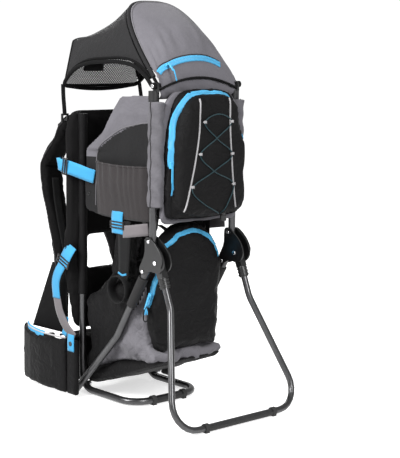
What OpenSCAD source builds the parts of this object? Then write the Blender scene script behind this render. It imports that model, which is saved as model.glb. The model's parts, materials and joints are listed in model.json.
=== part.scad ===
// Framed baby carrier backpack: a tube frame that stands on a fold-out kickstand,
// with a child seat, sun canopy, two zipped pockets and a wearer's harness.
// The wearer faces +Y, the pockets face -Y, and the frame stands on the plane z = 0.

/* [Frame] */
// Distance from the middle to each rear tube's centre line
frame_hw = 131; // [118:1:158]
// Outside diameter of the main tubes
tube_d = 18; // [16:0.5:20]
// Height of the rear uprights' tops
upright_top = 792; // [760:1:830]
// Height at which the rear tubes turn forward
hinge_z = 397; // [370:1:410]
// Forward place of the rear tubes' knee
knee_y = 134; // [120:1:150]
// Height of the rear tubes' knee
knee_z = 179; // [165:1:195]
// Forward place of the front uprights
front_y = 300; // [290:1:320]
// Height of the front frame's top bar
front_top = 724; // [700:1:730]
// Forward place of the floor loop's rear bar
loop_y = 89; // [80:1:110]
// Gap between a rear tube and the front upright beside it
pivot_gap = 2; // [1:0.5:4]
// Thickness of the rubber under the tubes
rubber_t = 3; // [2:0.5:5]

/* [Kickstand] */
// Outside diameter of the kickstand tube
kick_d = 16; // [13:0.5:17]
// Length of the kickstand from its hinge to its bar
kick_len = 406; // [380:1:420]
// Half width of the kickstand at its widest
kick_hw = 197; // [165:1:215]
// Angle of the kickstand behind the vertical
kick_angle = 21.9; // [20:0.1:26]
// Radius of the kickstand hinge pin
kick_pin_r = 3.5; // [2.5:0.1:4.5]
// Radius of the frame's pivot bolts
bolt_r = 4; // [3:0.1:5]
// Radial clearance of every turning fit
fit_gap = 0.06; // [0.02:0.01:0.1]

/* [Canopy] */
// Height of the canopy pivots
canopy_z = 808; // [802:1:850]
// Length of the main hoop along its plane
hoop_len = 266; // [230:1:300]
// Lean of the main hoop from the vertical
hoop_lean = 43; // [38:1:48]
// Forward place of the visor's front edge
visor_y = 364; // [350:1:380]
// Height of the visor's front top edge
visor_top = 918; // [900:1:930]
// Radius of the hoop rods
rod_r = 4; // [3:0.5:5]
// Radius of the canopy's pivot pins
canopy_pin_r = 3; // [2:0.1:4]

/* [Bags] */
// Half width of the upper pocket
pocket_hw = 120; // [100:1:122]
// Depth of the upper pocket
pocket_depth = 41; // [30:1:60]
// Half width of the lower bag and the seat
bag_hw = 113; // [95:1:115]
// Height of the seat's top surface
seat_z = 362; // [340:1:380]

/* [Wearer's harness] */
// Half width of the back panel
panel_hw = 150; // [130:1:152]
// Thickness of the back panel
panel_t = 26; // [18:1:30]
// Width of a shoulder strap
strap_w = 70; // [55:1:76]
// Thickness of a shoulder strap
strap_t = 18; // [12:1:22]
// Height of the hip belt
belt_h = 144; // [110:1:150]
// Thickness of the hip belt
belt_t = 16; // [10:1:18]

/* [Hidden] */
$fn = 48;

tube_r = tube_d / 2;
kick_r = kick_d / 2;
play = 0.4;                                  // gap between pieces that only lie close
near = 1;                                    // gap round a soft piece
front_hw = frame_hw - tube_d - pivot_gap;
front_z = tube_r + rubber_t;                 // centre height of the floor loop
heel_bend = 40;                              // bend from the front upright to the floor
loop_bend = 55;
knee_bend = 70;
hinge_bend = 60;
heel_in = heel_bend * (1 - cos(45));
pivot_y = front_y - heel_in;                 // frame pivot, on the heel bend
pivot_z = front_z + heel_in;
run = [pivot_y, pivot_z] - [knee_y, knee_z];
lower_dir = run / norm(run);                 // direction of the lower tube past its knee
lower_end = [pivot_y, pivot_z] + 15 * lower_dir;
kick_bar_z = kick_r + rubber_t;
kick_piv_z = kick_bar_z + kick_len * cos(kick_angle);
kick_piv_y = -24;
kick_bar_y = kick_piv_y - kick_len * sin(kick_angle);
plate_t = 4;
plate_gap = tube_r + 0.5;                    // from the tube's centre to a hinge cover
rear_reach = kick_bar_y - kick_r - rubber_t;
front_reach = 556;                           // front face of the belt buckle
origin_y = (rear_reach + front_reach) / 2;
canopy_y = -8;
eye_r = 8;
panel_y = front_y + tube_r + 1.5;            // rear face of the back panel
panel_top = front_top + 18;
panel_low = 158;
sleeve_r = tube_r + 5;
board_y = -(sleeve_r + near);                // front face of the rear fabric panel
board_t = 9;
pocket_y = board_y - board_t - near;         // front face of the upper pocket
pocket_step = 16;                            // depth of the pocket's back part
lower_pocket_y = 10;
lower_pocket_t = 40;
bag_y = lower_pocket_y + lower_pocket_t + near;
bag_front = front_y - tube_r - 8;
seat_front = 190;
side_x = frame_hw - tube_r - 6.5;            // inner face of a side panel
side_t = 5;

// ---- helpers ----

module place() translate([0, -origin_y, 0]) children();

module on_side(s) {
  if (s < 0) mirror([1, 0, 0]) children();
  else children();
}

module both_sides() for (s = [-1, 1]) on_side(s) children();

// Draws a flat figure's x and y along +Y and +Z, starting at the given x.
module in_yz(x) translate([x, 0, 0]) rotate([90, 0, 90]) children();

function unit(v) = v / norm(v);
function lerp(a, b, f) = a + (b - a) * f;
function spow(v, e) = sign(v) * pow(abs(v), e);

// A closed outline with softened corners.
function soft(pts, cut, steps = 4) = let(n = len(pts)) [for (i = [0 : n - 1])
  let(p = pts[i], a = pts[(i + n - 1) % n] - p, b = pts[(i + 1) % n] - p,
      s = p + unit(a) * min(cut, norm(a) / 2.05), e = p + unit(b) * min(cut, norm(b) / 2.05))
  for (k = [0 : steps]) let(f = k / steps) (1 - f) * (1 - f) * s + 2 * f * (1 - f) * p + f * f * e];

module side_plate(pts, cut, x, t) in_yz(x) linear_extrude(t) polygon(soft(pts, cut));

module back_plate(pts, cut, y, t)
  translate([0, y + t, 0]) rotate([90, 0, 0]) linear_extrude(t) polygon(soft(pts, cut));

module cross_pin(x, y, z, r, len) translate([x, y, z]) rotate([0, 90, 0]) cylinder(r = r, h = len);

module ring(d, wall) difference() { circle(d = d); circle(d = d - 2 * wall); }

function bend_at(pts, i) = acos(min(1, unit(pts[i] - pts[i - 1]) * unit(pts[i + 1] - pts[i])));

// A path through pts with a round bend of the given radius at each inner point.
function bent_path(pts, bends, steps = 7) = [pts[0], for (i = [1 : len(pts) - 2])
  let(u = unit(pts[i] - pts[i - 1]), w = unit(pts[i + 1] - pts[i]), r = bends[i - 1],
      turn = bend_at(pts, i), inward = unit(w - u * (u * w)), s = pts[i] - u * r * tan(turn / 2))
  for (k = [0 : steps]) let(a = turn * k / steps) s + r * (sin(a) * u + (1 - cos(a)) * inward),
  pts[len(pts) - 1]];

function tangent(pts, i) = unit(pts[min(i + 1, len(pts) - 1)] - pts[max(i - 1, 0)]);

// Directions across a path: held to one direction, or carried along without twist.
function held(pts, across) = [for (i = [0 : len(pts) - 1])
  let(t = tangent(pts, i)) unit(across - t * (across * t))];
function carried(pts, across, i = 0) = i == len(pts) ? []
  : let(t = tangent(pts, i), a = unit(across - t * (across * t))) concat([a], carried(pts, a, i + 1));

// A closed solid swept along points, with one direction across for each point.
module sweep(pts, section, across) {
  m = len(section);
  n = len(pts);
  solid = [for (i = [0 : n - 1]) let(b = cross(tangent(pts, i), across[i]))
    for (q = section) pts[i] + across[i] * q.x + b * q.y];
  walls = [for (i = [0 : n - 2]) for (k = [0 : m - 1]) let(j = (k + 1) % m, a = i * m, b = a + m)
    each [[a + k, b + k, b + j], [a + k, b + j, a + j]]];
  polyhedron(solid, concat(walls, [[for (k = [0 : m - 1]) k]],
    [[for (k = [m - 1 : -1 : 0]) (n - 1) * m + k]]), convexity = 6);
}

function flat_section(w, t) = [[w / 2, t / 2], [-w / 2, t / 2], [-w / 2, -t / 2], [w / 2, -t / 2]];
function round_section(r, n = 8) = [for (k = [0 : n - 1]) r * [cos(360 * k / n), sin(360 * k / n)]];

module strap(pts, w, t, across = [1, 0, 0]) sweep(pts, flat_section(w, t), held(pts, across));
module rod(pts, r, across, n = 8) sweep(pts, round_section(r, n), carried(pts, across));
module tube(pts, bends, d, across = [1, 0, 0]) rod(bent_path(pts, bends), d / 2, across, 16);

function grid_normal(g, i, j) = let(n = len(g) - 1, m = len(g[0]) - 1)
  unit(cross(g[min(i + 1, n)][j] - g[max(i - 1, 0)][j], g[i][min(j + 1, m)] - g[i][max(j - 1, 0)]));

// A closed sheet of thickness t under a grid of points.
module skin(g, t) {
  n = len(g);
  m = len(g[0]);
  top = [for (i = [0 : n - 1]) for (j = [0 : m - 1]) g[i][j]];
  low = [for (i = [0 : n - 1]) for (j = [0 : m - 1]) g[i][j] - t * grid_normal(g, i, j)];
  q = n * m;
  tops = [for (i = [0 : n - 2]) for (j = [0 : m - 2]) let(a = i * m + j)
    each [[a, a + 1, a + m + 1], [a, a + m + 1, a + m]]];
  lows = [for (f = tops) [f[2] + q, f[1] + q, f[0] + q]];
  edge = concat([for (i = [0 : n - 2]) i * m], [for (j = [0 : m - 2]) (n - 1) * m + j],
    [for (i = [n - 1 : -1 : 1]) i * m + m - 1], [for (j = [m - 1 : -1 : 1]) j]);
  rim = [for (k = [0 : len(edge) - 1]) let(a = edge[k], b = edge[(k + 1) % len(edge)])
    each [[a, b, b + q], [a, b + q, a + q]]];
  polyhedron(concat(top, low), concat(tops, lows, rim), convexity = 6);
}

// ---- front frame ----

module front_frame_tube() color("dimgray") place() difference() {
  tube([[-front_hw, front_y, front_top], [-front_hw, front_y, front_z], [-front_hw, loop_y, front_z],
    [front_hw, loop_y, front_z], [front_hw, front_y, front_z], [front_hw, front_y, front_top]],
    [heel_bend, loop_bend, loop_bend, heel_bend], tube_d);
  both_sides() cross_pin(front_hw - tube_d, pivot_y, pivot_z, bolt_r, 2 * tube_d);
}

// A rubber strip under a floor bar, with a flat-footed collar at each end.
module bar_foot(half, y, z, r) {
  difference() {
    cross_pin(-half, y, z, r + rubber_t - 1, 2 * half);
    cross_pin(-half - 1, y, z, r, 2 * half + 2);
    translate([-half - 1, y - 2 * r, z + 2]) cube([2 * half + 2, 4 * r, 2 * r]);
  }
  for (x = [-half - 6, half - 6]) difference() {
    union() {
      cross_pin(x, y, z, r + rubber_t, 12);
      translate([x, y - r, 0]) cube([12, 2 * r, z]);
    }
    cross_pin(x - 1, y, z, r, 14);
  }
}

module floor_loop_foot() color([0.06, 0.06, 0.06]) place()
  bar_foot(front_hw - loop_bend - 6, loop_y, front_z, tube_r);

module pivot_bolts() color("silver") place() both_sides() {
  cross_pin(front_hw - tube_r - 3, pivot_y, pivot_z, bolt_r, frame_hw + tube_r + 7 - front_hw + tube_r);
  cross_pin(frame_hw + tube_r + 3, pivot_y, pivot_z, 7.5, 4);
}

module pivot_washers() color("silver") place() both_sides() difference() {
  union() {
    cross_pin(frame_hw + tube_r + 0.3, pivot_y, pivot_z, 9, 2.2);
    cross_pin(front_hw - tube_r - 6, pivot_y, pivot_z, 7, 5.6);
  }
  cross_pin(front_hw - tube_r - 7, pivot_y, pivot_z, bolt_r, 80);
}

// ---- rear frame ----

module rear_tube() difference() {
  tube([for (p = [[0, upright_top], [0, hinge_z], [knee_y, knee_z], lower_end]) [frame_hw, p.x, p.y]],
    [hinge_bend, knee_bend], tube_d);
  cross_pin(frame_hw - tube_d, pivot_y, pivot_z, bolt_r + fit_gap, 2 * tube_d);
  for (p = rivet_spots()) cross_pin(frame_hw - tube_d, p.x, p.y, 2.5, 2 * tube_d);
}

function rivet_spots() = let(u = unit([knee_y, knee_z] - [0, hinge_z])) [[0, hinge_z + 40],
  [0, hinge_z] + 42 * u];

module rear_tube_left() color("dimgray") place() on_side(-1) rear_tube();
module rear_tube_right() color("dimgray") place() on_side(1) rear_tube();

module rear_crossbar() color("dimgray") place() difference() {
  cross_pin(-frame_hw, 0, 640, 7, 2 * frame_hw);
  both_sides() translate([frame_hw, 0, 600]) cylinder(r = tube_r, h = 80);
}

module lower_tube_plugs() color([0.05, 0.05, 0.05]) place() both_sides()
  translate([frame_hw, lower_end.x, lower_end.y])
    rotate([atan2(-lower_dir.x, lower_dir.y), 0, 0]) {
      cylinder(r = tube_r, h = 3);
      translate([0, 0, 3]) intersection() {
        sphere(r = tube_r);
        translate([-tube_d, -tube_d, 0]) cube([2 * tube_d, 2 * tube_d, tube_r - 3.5]);
      }
    }

module foam_sleeves() color([0.1, 0.1, 0.1]) place() both_sides()
  let(u = unit([knee_y, knee_z] - [0, hinge_z]), s = [0, hinge_z] + 62 * u)
  translate([frame_hw, s.x, s.y]) rotate([atan2(u.y, u.x) - 90, 0, 0]) linear_extrude(90)
    ring(tube_d + 7, 3.5);

module upright_sleeves() color([0.62, 0.6, 0.64]) place() both_sides()
  translate([frame_hw, 0, 520]) linear_extrude(240) ring(2 * sleeve_r, sleeve_r - tube_r);

function cover_outline() = [[-58, hinge_z - 14], [-50, hinge_z + 14], [-30, hinge_z + 34],
  [-2, hinge_z + 52], [14, hinge_z + 50], [14, hinge_z + 8], [38, hinge_z - 34], [22, hinge_z - 46],
  [-6, hinge_z - 30], [-38, hinge_z - 36]];

module hinge_cover(x) difference() {
  side_plate(cover_outline(), 14, x, plate_t);
  for (p = rivet_spots()) cross_pin(x - 1, p.x, p.y, 2.5, plate_t + 2);
  cross_pin(x - 1, kick_piv_y, kick_piv_z, kick_pin_r, plate_t + 2);
}

cover_out_x = frame_hw + plate_gap;
cover_in_x = frame_hw - plate_gap - plate_t;

module hinge_cover_outer_left() color([0.07, 0.07, 0.07]) place() on_side(-1) hinge_cover(cover_out_x);
module hinge_cover_inner_left() color([0.07, 0.07, 0.07]) place() on_side(-1) hinge_cover(cover_in_x);
module hinge_cover_outer_right() color([0.07, 0.07, 0.07]) place() on_side(1) hinge_cover(cover_out_x);
module hinge_cover_inner_right() color([0.07, 0.07, 0.07]) place() on_side(1) hinge_cover(cover_in_x);

// A headed pin through both hinge covers.
module cover_pin(y, z, r, head) {
  cross_pin(cover_in_x - 1.2, y, z, r, cover_out_x + plate_t + 1.2 - cover_in_x + 1.2);
  cross_pin(cover_in_x - 2.2, y, z, head, 1.8);
  cross_pin(cover_out_x + plate_t + play, y, z, head, 1.8);
}

module hinge_rivets() color("gainsboro") place() both_sides()
  for (p = rivet_spots()) cover_pin(p.x, p.y, 2.5, 4.5);

module kickstand_pins() color("gainsboro") place() both_sides()
  cover_pin(kick_piv_y, kick_piv_z, kick_pin_r, 5.5);

// ---- kickstand, drawn in its own leaning plane from the hinge down ----

// Sideways lean of the leg that brings its outer bend to kick_hw.
splay_s = 115;
foot_bend = 60;
reach = [kick_hw - foot_bend - frame_hw, kick_len - foot_bend - splay_s];
splay = asin(foot_bend / norm(reach)) + atan2(reach.x, reach.y);
socket_s = 38;

module kickstand_tube() color("dimgray") place() {
  corner = [frame_hw + (kick_len - splay_s) * tan(splay), kick_len];
  leg = [[frame_hw, socket_s], [frame_hw, splay_s], corner];
  flat = concat([for (p = leg) [-p.x, p.y]], [for (i = [2 : -1 : 0]) leg[i]]);
  tube([for (p = flat) [p.x, kick_piv_y - p.y * sin(kick_angle), kick_piv_z - p.y * cos(kick_angle)]],
    [80, foot_bend, foot_bend, 80], kick_d);
}

module kickstand_sockets() color([0.07, 0.07, 0.07]) place()
  translate([0, kick_piv_y, kick_piv_z]) rotate([-kick_angle, 0, 0]) both_sides() difference() {
    union() {
      cross_pin(frame_hw - tube_r, 0, 0, 11, tube_d);
      translate([frame_hw - tube_r, -10, -socket_s]) cube([tube_d, 20, socket_s]);
      translate([frame_hw, 0, -socket_s - 26]) difference() {
        cylinder(r = kick_r + 4, h = 26);
        translate([0, 0, -1]) cylinder(r = kick_r, h = 27);
      }
      for (k = [0 : 2]) translate([frame_hw, 0, -socket_s - 22 + 8 * k]) difference() {
        cylinder(r = kick_r + 5.5, h = 3);
        translate([0, 0, -1]) cylinder(r = kick_r + 2, h = 5);
      }
    }
    cross_pin(frame_hw - tube_d, 0, 0, kick_pin_r + fit_gap, 2 * tube_d);
  }

module kickstand_foot() color([0.06, 0.06, 0.06]) place()
  bar_foot(112, kick_bar_y, kick_bar_z, kick_r);

// ---- canopy ----

post_x = frame_hw - 3;

module canopy_clips() color([0.07, 0.07, 0.07]) place() both_sides() difference() {
  union() {
    translate([frame_hw, 0, upright_top - 22]) cylinder(r = sleeve_r - 1, h = 22);
    translate([frame_hw, 0, upright_top]) cylinder(r = sleeve_r - 1, h = 4);
    translate([post_x, canopy_y - 8, upright_top]) cube([6, 16, canopy_z - upright_top]);
    cross_pin(post_x, canopy_y, canopy_z, eye_r, 6);
  }
  translate([frame_hw, 0, upright_top - 23]) cylinder(r = tube_r, h = 23);
  cross_pin(post_x - 1, canopy_y, canopy_z, canopy_pin_r, 8);
}

module canopy_pins() color("gainsboro") place() both_sides() {
  cross_pin(post_x - 8, canopy_y, canopy_z, canopy_pin_r, 22);
  cross_pin(post_x + 6 + 8, canopy_y, canopy_z, 5, 2);
}

module hoop_eye(x) difference() {
  cross_pin(x, canopy_y, canopy_z, eye_r, 6);
  cross_pin(x - 1, canopy_y, canopy_z, canopy_pin_r + fit_gap, 8);
}

hoop_hw = post_x - 1 - 3;                    // the main hoop runs inside its posts

// A point of the main hoop, from f = 0 on the right to f = 180 on the left.
function hoop_point(f) = let(s = 6 + (hoop_len - 6) * pow(abs(sin(f)), 0.8))
  [hoop_hw * spow(cos(f), 0.62), canopy_y + s * sin(hoop_lean), canopy_z + s * cos(hoop_lean)];

hoop_steps = [0, 4, 12, 22, 34, 46, 58, 70, 80, 90, 100, 110, 122, 134, 146, 158, 168, 176, 180];

module canopy_main_hoop() color([0.1, 0.1, 0.1]) place() {
  both_sides() hoop_eye(hoop_hw - 3);
  rod([for (f = hoop_steps) hoop_point(f)], rod_r, [1, 0, 0]);
}

// The dome behind the main hoop: u runs from the lower arch to the hoop, v across.
function dome_point(u, f) = let(v = spow(cos(f), 0.8),
    low = [100 * v, canopy_y - 6, 812 + 14 * (1 - v * v)],
    high = hoop_point(f) + [-8 * cos(f), -7, 7], bulge = 38 * sin(180 * pow(u, 0.8)) * (1 - 0.75 * v * v))
  lerp(low, high, u) + bulge * [0, -0.7, 0.7];

module canopy_rear_panel() color([0.42, 0.41, 0.44]) place()
  skin([for (u = [0, 0.2, 0.4, 0.6, 0.8, 1]) [for (k = [0 : 12]) dome_point(u, 8 + 164 * k / 12)]], 2);

// The front edge of the visor: f = 0 at the right corner, 90 at the middle, 180 at the left.
visor_low = canopy_z - 4;
function visor_point(f) = let(g = min(f, 180 - f), side = min(1, g / 40), over = max(0, (g - 40) / 50))
  [sign(90 - f) * (over > 0 ? 96 * (1 - pow(over, 1.6)) : lerp(122, 96, side)), visor_y - 4,
   over > 0 ? visor_top - 12 * pow(1 - over, 2.5) : lerp(visor_low, visor_top - 12, side)];

// How far the open side's lower edge rises between the hoops, as a share of its height.
function arch_rise(u) = 1 - pow(abs(2 * u - 1), 3.5);

// The roof between the hoops: u runs forward, f goes round from side to side.
function roof_point(u, f) = let(a = hoop_point(f) + [3 * cos(f), 8, 2 * sin(f)], b = visor_point(f),
    low = pow(abs(cos(f)), 6))
  lerp(a, b, u) + [0, 0, 52 * arch_rise(u) * low - 14 * sin(180 * u) * sin(f)];

module canopy_roof() color([0.16, 0.16, 0.17]) place()
  skin([for (k = [0 : 14]) [for (u = [0, 0.1, 0.22, 0.36, 0.5, 0.64, 0.78, 0.9, 1])
    roof_point(u, 2 + 176 * k / 14)]], 1.6);

function arch_point(u) = [front_rod_x - 12 * u, canopy_y + 8 + (visor_y - canopy_y - 8) * u,
  canopy_z - 12 * u + 58 * arch_rise(u)];

front_rod_x = post_x + 6 + 1 + 3;

module canopy_front_hoop() color([0.08, 0.08, 0.08]) place() {
  both_sides() hoop_eye(front_rod_x - 3);
  side = [for (u = [0, 0.04, 0.1, 0.2, 0.35, 0.5, 0.65, 0.8, 0.9, 0.97]) arch_point(u)];
  hem = [for (x = [118 : -23.6 : -118]) let(q = pow(x / 118, 2))
    [x, visor_y + 6 - 6 * q, canopy_z - 14 + 2 * q]];
  rod(concat(side, hem, [for (i = [len(side) - 1 : -1 : 0]) [-side[i].x, side[i].y, side[i].z]]),
    rod_r, [1, 0, 0]);
}

module canopy_front_mesh() color([0.35, 0.35, 0.36]) place()
  back_plate([[-114, canopy_z - 8], [114, canopy_z - 8], [88, visor_top - 6], [-88, visor_top - 6]], 14,
    visor_y + 2, 1.5);

module canopy_straps() color([0.05, 0.05, 0.05]) place() both_sides()
  strap([[128, visor_y - 2, canopy_z - 21], [129, visor_y - 6, 770], [130, 353, 740],
    [130, 351, 726]], 14, 1.5);

module canopy_hooks() color([0.06, 0.06, 0.06]) place() both_sides() difference() {
  translate([119, 348, 703]) cube([22, 5, 22]);
  translate([124, 347, 708]) cube([12, 7, 12]);
}

module canopy_zip_slider() color("skyblue") place() let(p = dome_point(0.22, 148)) translate(p + [0, -5, 6])
  rotate([-45, 0, 0]) {
    translate([-6, -4, -3]) cube([12, 8, 6]);
    translate([-3, -7, -24]) cube([6, 2.5, 26]);
  }

// ---- back of the carrier ----

module rear_panel() color([0.55, 0.53, 0.57]) place() back_plate([[-134, 478], [134, 478], [134, 740],
  [104, 792], [-104, 792], [-134, 740]], 30, board_y - board_t, board_t);

function pocket_outline(hw, top, low) = [[-hw, low + 14], [-hw + 24, low], [hw - 24, low], [hw, low + 14],
  [hw, top - 105], [hw - 28, top - 20], [hw - 62, top], [-hw + 62, top], [-hw + 28, top - 20],
  [-hw, top - 105]];

module upper_pocket() color([0.08, 0.08, 0.08]) place() {
  back_plate(pocket_outline(pocket_hw, 800, 486), 26, pocket_y - pocket_step, pocket_step);
  back_plate(pocket_outline(pocket_hw - 14, 786, 498), 24, pocket_y - pocket_depth,
    pocket_depth - pocket_step);
}

// A zip slider with its pull: the slider's back lies on y = 0 of its own frame.
module zip_slider(pull) {
  translate([-5, -6, -8]) cube([10, 5.6, 16]);
  translate([-3, -8.5, -8 - pull]) cube([6, 2, pull + 10]);
}

module upper_zip_slider() color("skyblue") place()
  translate([-pocket_hw + 7, pocket_y - pocket_step - play, 622]) zip_slider(34);

bungee_face = pocket_y - pocket_depth - 2.4;

module bungee_cord() color([0.2, 0.3, 0.32]) place()
  rod([for (p = [[38, 500], [58, 562], [-62, 642], [52, 716], [-50, 714], [60, 638], [-66, 566], [24, 508]])
    [p.x, bungee_face - (p.x < 0 ? 0 : 3.6) - 0.002 * (p.y - 500), p.y]], 1.5, [0, 1, 0]);

module cord_lock() color([0.05, 0.05, 0.05]) place() difference() {
  translate([27, bungee_face - 9, 482]) cylinder(r = 8, h = 14);
  translate([27, bungee_face - 9, 484]) cylinder(r = 5, h = 13);
}

module cord_lock_button() color([0.1, 0.1, 0.1]) place()
  translate([27, bungee_face - 9, 488.5]) cylinder(r = 5 - fit_gap, h = 14);

module lower_pocket() color([0.08, 0.08, 0.08]) place() back_plate(concat(
    [for (a = [0 : 15 : 180]) [bag_hw * cos(a), 335 + 136 * sin(a)]],
    [[-bag_hw, 240], [-bag_hw + 24, 178], [bag_hw - 24, 178], [bag_hw, 240]]),
    12, lower_pocket_y, lower_pocket_t);

module lower_zip_slider() color("skyblue") place() translate([-bag_hw - play, 26, 296])
  rotate([22, 0, 0]) rotate([0, 0, -90]) zip_slider(30);

function bag_floor(y) = 104 - (y - lower_pocket_y) * 0.26;

module storage_body() color([0.6, 0.58, 0.62]) place() side_plate([[lower_pocket_y, 148],
  [lower_pocket_y, 162], [bag_y, 166], [bag_y, 430], [bag_y + 30, seat_z - 34], [seat_front - 5, seat_z - 34],
  [bag_front, 250], [bag_front, 96], [160, 128]], 10, -bag_hw, 2 * bag_hw);

module storage_base() color([0.07, 0.07, 0.07]) place() side_plate([[lower_pocket_y, bag_floor(10)],
  [lower_pocket_y, 147], [160, 127], [bag_front, 95], [bag_front, bag_floor(bag_front)]],
  6, -bag_hw, 2 * bag_hw);

module seat() color([0.09, 0.09, 0.09]) place() {
  side_plate([[bag_y + 34, seat_z - 33], [bag_y + 30, seat_z - 6], [bag_y + 38, seat_z], [seat_front, seat_z],
    [seat_front, seat_z - 33]], 8, -bag_hw + 4, 2 * bag_hw - 8);
  both_sides() side_plate([[bag_y + 40, seat_z - 20], [bag_y + 8, 470], [176, 470],
    [seat_front - 4, seat_z - 20]], 12, bag_hw - 8, 4);
  side_plate([[17, 482], [17, 742], [34, 742], [bag_y - 10, 500], [bag_y - 12, 480]], 6, -100, 200);
}

module side_panel() side_plate([[17, 478], [17, 784], [132, 778], [168, 742], [196, 692], [276, 640],
  [278, 486], [200, 474]], 14, side_x, side_t);
module side_panel_left() color([0.55, 0.53, 0.57]) place() on_side(-1) side_panel();
module side_panel_right() color([0.55, 0.53, 0.57]) place() on_side(1) side_panel();

// A gathered pocket open at its top, standing off the side panel.
module side_pocket() {
  x = side_x + side_t + play;
  difference() {
    hull() {
      translate([x, 22, 482]) cube([12, 196, 10]);
      translate([x, 19, 560]) cube([24, 202, 52]);
    }
    hull() {
      translate([x + 3, 28, 492]) cube([5, 184, 4]);
      translate([x + 3, 24, 560]) cube([18, 192, 60]);
    }
  }
}

module side_pocket_left() color([0.36, 0.34, 0.35]) place() on_side(-1) side_pocket();
module side_pocket_right() color([0.36, 0.34, 0.35]) place() on_side(1) side_pocket();

// ---- child's harness ----

buckle_y = 150;

module child_harness() color([0.06, 0.06, 0.06]) place() {
  both_sides() {
    strap([[45, 39, 700], [45, 60, 690], [42, 110, 600], [30, 138, 500], [20, buckle_y - 4, 462]], 24, 2);
    strap([[100, 84, 376], [70, 104, 392], [38, buckle_y - 8, 432], [20, buckle_y, 446]], 22, 2, [0, 1, 0]);
  }
  strap([[0, 178, seat_z + play], [0, 177, seat_z + 26], [0, buckle_y + 14, 414],
    [0, buckle_y + 4, 428]], 26, 2);
}

module harness_buckle() color([0.08, 0.08, 0.08]) place() difference() {
  back_plate([[-18, 430], [18, 430], [24, 470], [-24, 470]], 8, buckle_y + 6, 14);
  translate([0, buckle_y + 21, 450]) rotate([90, 0, 0]) cylinder(r = 9, h = 8);
}

module harness_button() color("firebrick") place()
  translate([0, buckle_y + 22, 450]) rotate([90, 0, 0]) cylinder(r = 9 - fit_gap, h = 5);

// A foot strap: webbing that hangs from the side pocket's foot, with a loop for the foot.
stirrup_y = 122;
stirrup_x = side_x + 16;

module stirrup() {
  strap([[stirrup_x, stirrup_y, 474], [stirrup_x, stirrup_y, 336]], 32, 2.5, [0, 1, 0]);
  translate([stirrup_x - 1.25, stirrup_y - 2, 302]) rotate([0, 90, 0]) difference() {
    cylinder(r = 36, h = 2.5);
    translate([0, 0, -1]) cylinder(r = 32, h = 5);
  }
}

module stirrup_left() color([0.1, 0.1, 0.1]) place() on_side(-1) stirrup();
module stirrup_right() color([0.1, 0.1, 0.1]) place() on_side(1) stirrup();

module side_straps() color("skyblue") place() both_sides() {
  strap([[side_x + 9, 268, 578], [side_x + 20, 276, 580], [panel_hw - 3, 296, 586],
    [panel_hw + 3, 318, 590], [panel_hw + 3, 330, 590]], 34, 2, [0, 0, 1]);
  translate([panel_hw + 1.5, 298, 568]) cube([6, 5, 40]);
}

// ---- wearer's side ----

module back_panel() color([0.07, 0.07, 0.07]) place() difference() {
  back_plate([[-panel_hw + 30, panel_low], [panel_hw - 30, panel_low], [panel_hw, 300], [panel_hw, 690],
    [panel_hw - 18, panel_top], [-panel_hw + 18, panel_top], [-panel_hw, 690], [-panel_hw, 300]],
    24, panel_y, panel_t);
  back_plate([[-96, 322], [96, 322], [96, 402], [-96, 402]], 24, panel_y - 1, panel_t + 2);
}

module lumbar_pad() color([0.1, 0.1, 0.1]) place()
  back_plate([[-110, 20], [110, 20], [120, 150], [-120, 150]], 20, panel_y, panel_t + 10);

strap_path = [[75, panel_y + panel_t + 12, 712], [75, 372, 708], [75, 405, 688], [75, 430, 652],
  [76, 462, 614], [78, 480, 584], [79, 479, 545], [82, 464, 490], [86, 438, 425], [92, 408, 359],
  [98, 390, 300], [102, 386, 262]];

module shoulder_strap() strap(strap_path, strap_w, strap_t);
module shoulder_strap_left() color([0.09, 0.09, 0.09]) place() on_side(-1) shoulder_strap();
module shoulder_strap_right() color([0.09, 0.09, 0.09]) place() on_side(1) shoulder_strap();

module shoulder_webbing() color([0.6, 0.58, 0.6]) place() both_sides() {
  strap([[116, 386, 251], [119, 384, 232], [124, 370, 195], [130, 353, 164], [133, 348, 153.5]], 25, 2);
  translate([102, 378, 246]) rotate([60, 0, 0]) difference() {
    cube([30, 6, 20]);
    translate([4, -1, 8]) cube([22, 8, 4]);
  }
}

// ---- hip belt ----

belt_low = 6;
belt_hinge_y = 300;
belt_side_x = panel_hw + 3 + belt_t / 2;
wing_gap = 1.2;

// Half the belt's thickness, across its path.
function belt_side(pts, i) = let(t = tangent(pts, i)) belt_t / 2 * [t.y, -t.x];

// An upright wall of the belt's height and thickness along a path seen from above.
module belt_wall(pts) translate([0, 0, belt_low]) linear_extrude(belt_h)
  polygon(concat([for (i = [0 : len(pts) - 1]) pts[i] + belt_side(pts, i)],
    [for (i = [len(pts) - 1 : -1 : 0]) pts[i] - belt_side(pts, i)]));

module hip_belt_sides() color([0.08, 0.08, 0.08]) place() both_sides()
  belt_wall([[belt_side_x, 218], [belt_side_x, belt_hinge_y - wing_gap - belt_t / 2]]);

module hip_belt_wing() {
  belt_wall([[belt_side_x, belt_hinge_y], [belt_side_x + 6, 340], [belt_side_x + 8, 390],
    [belt_side_x + 2, 440], [belt_side_x - 14, 488], [belt_side_x - 40, 528]]);
  translate([belt_side_x, belt_hinge_y, belt_low]) cylinder(r = belt_t / 2, h = belt_h);
}

module hip_belt_wing_left() color([0.08, 0.08, 0.08]) place() on_side(-1) hip_belt_wing();
module hip_belt_wing_right() color([0.08, 0.08, 0.08]) place() on_side(1) hip_belt_wing();

belt_mid_z = belt_low + belt_h / 2;

// The webbing that runs from a wing's end to its half of the buckle.
module buckle_web(x) strap([[belt_side_x - 38, 538.5, belt_mid_z], [100, 545, belt_mid_z],
  [x, front_reach - 6, belt_mid_z]], 38, 2, [0, 0, 1]);

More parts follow.
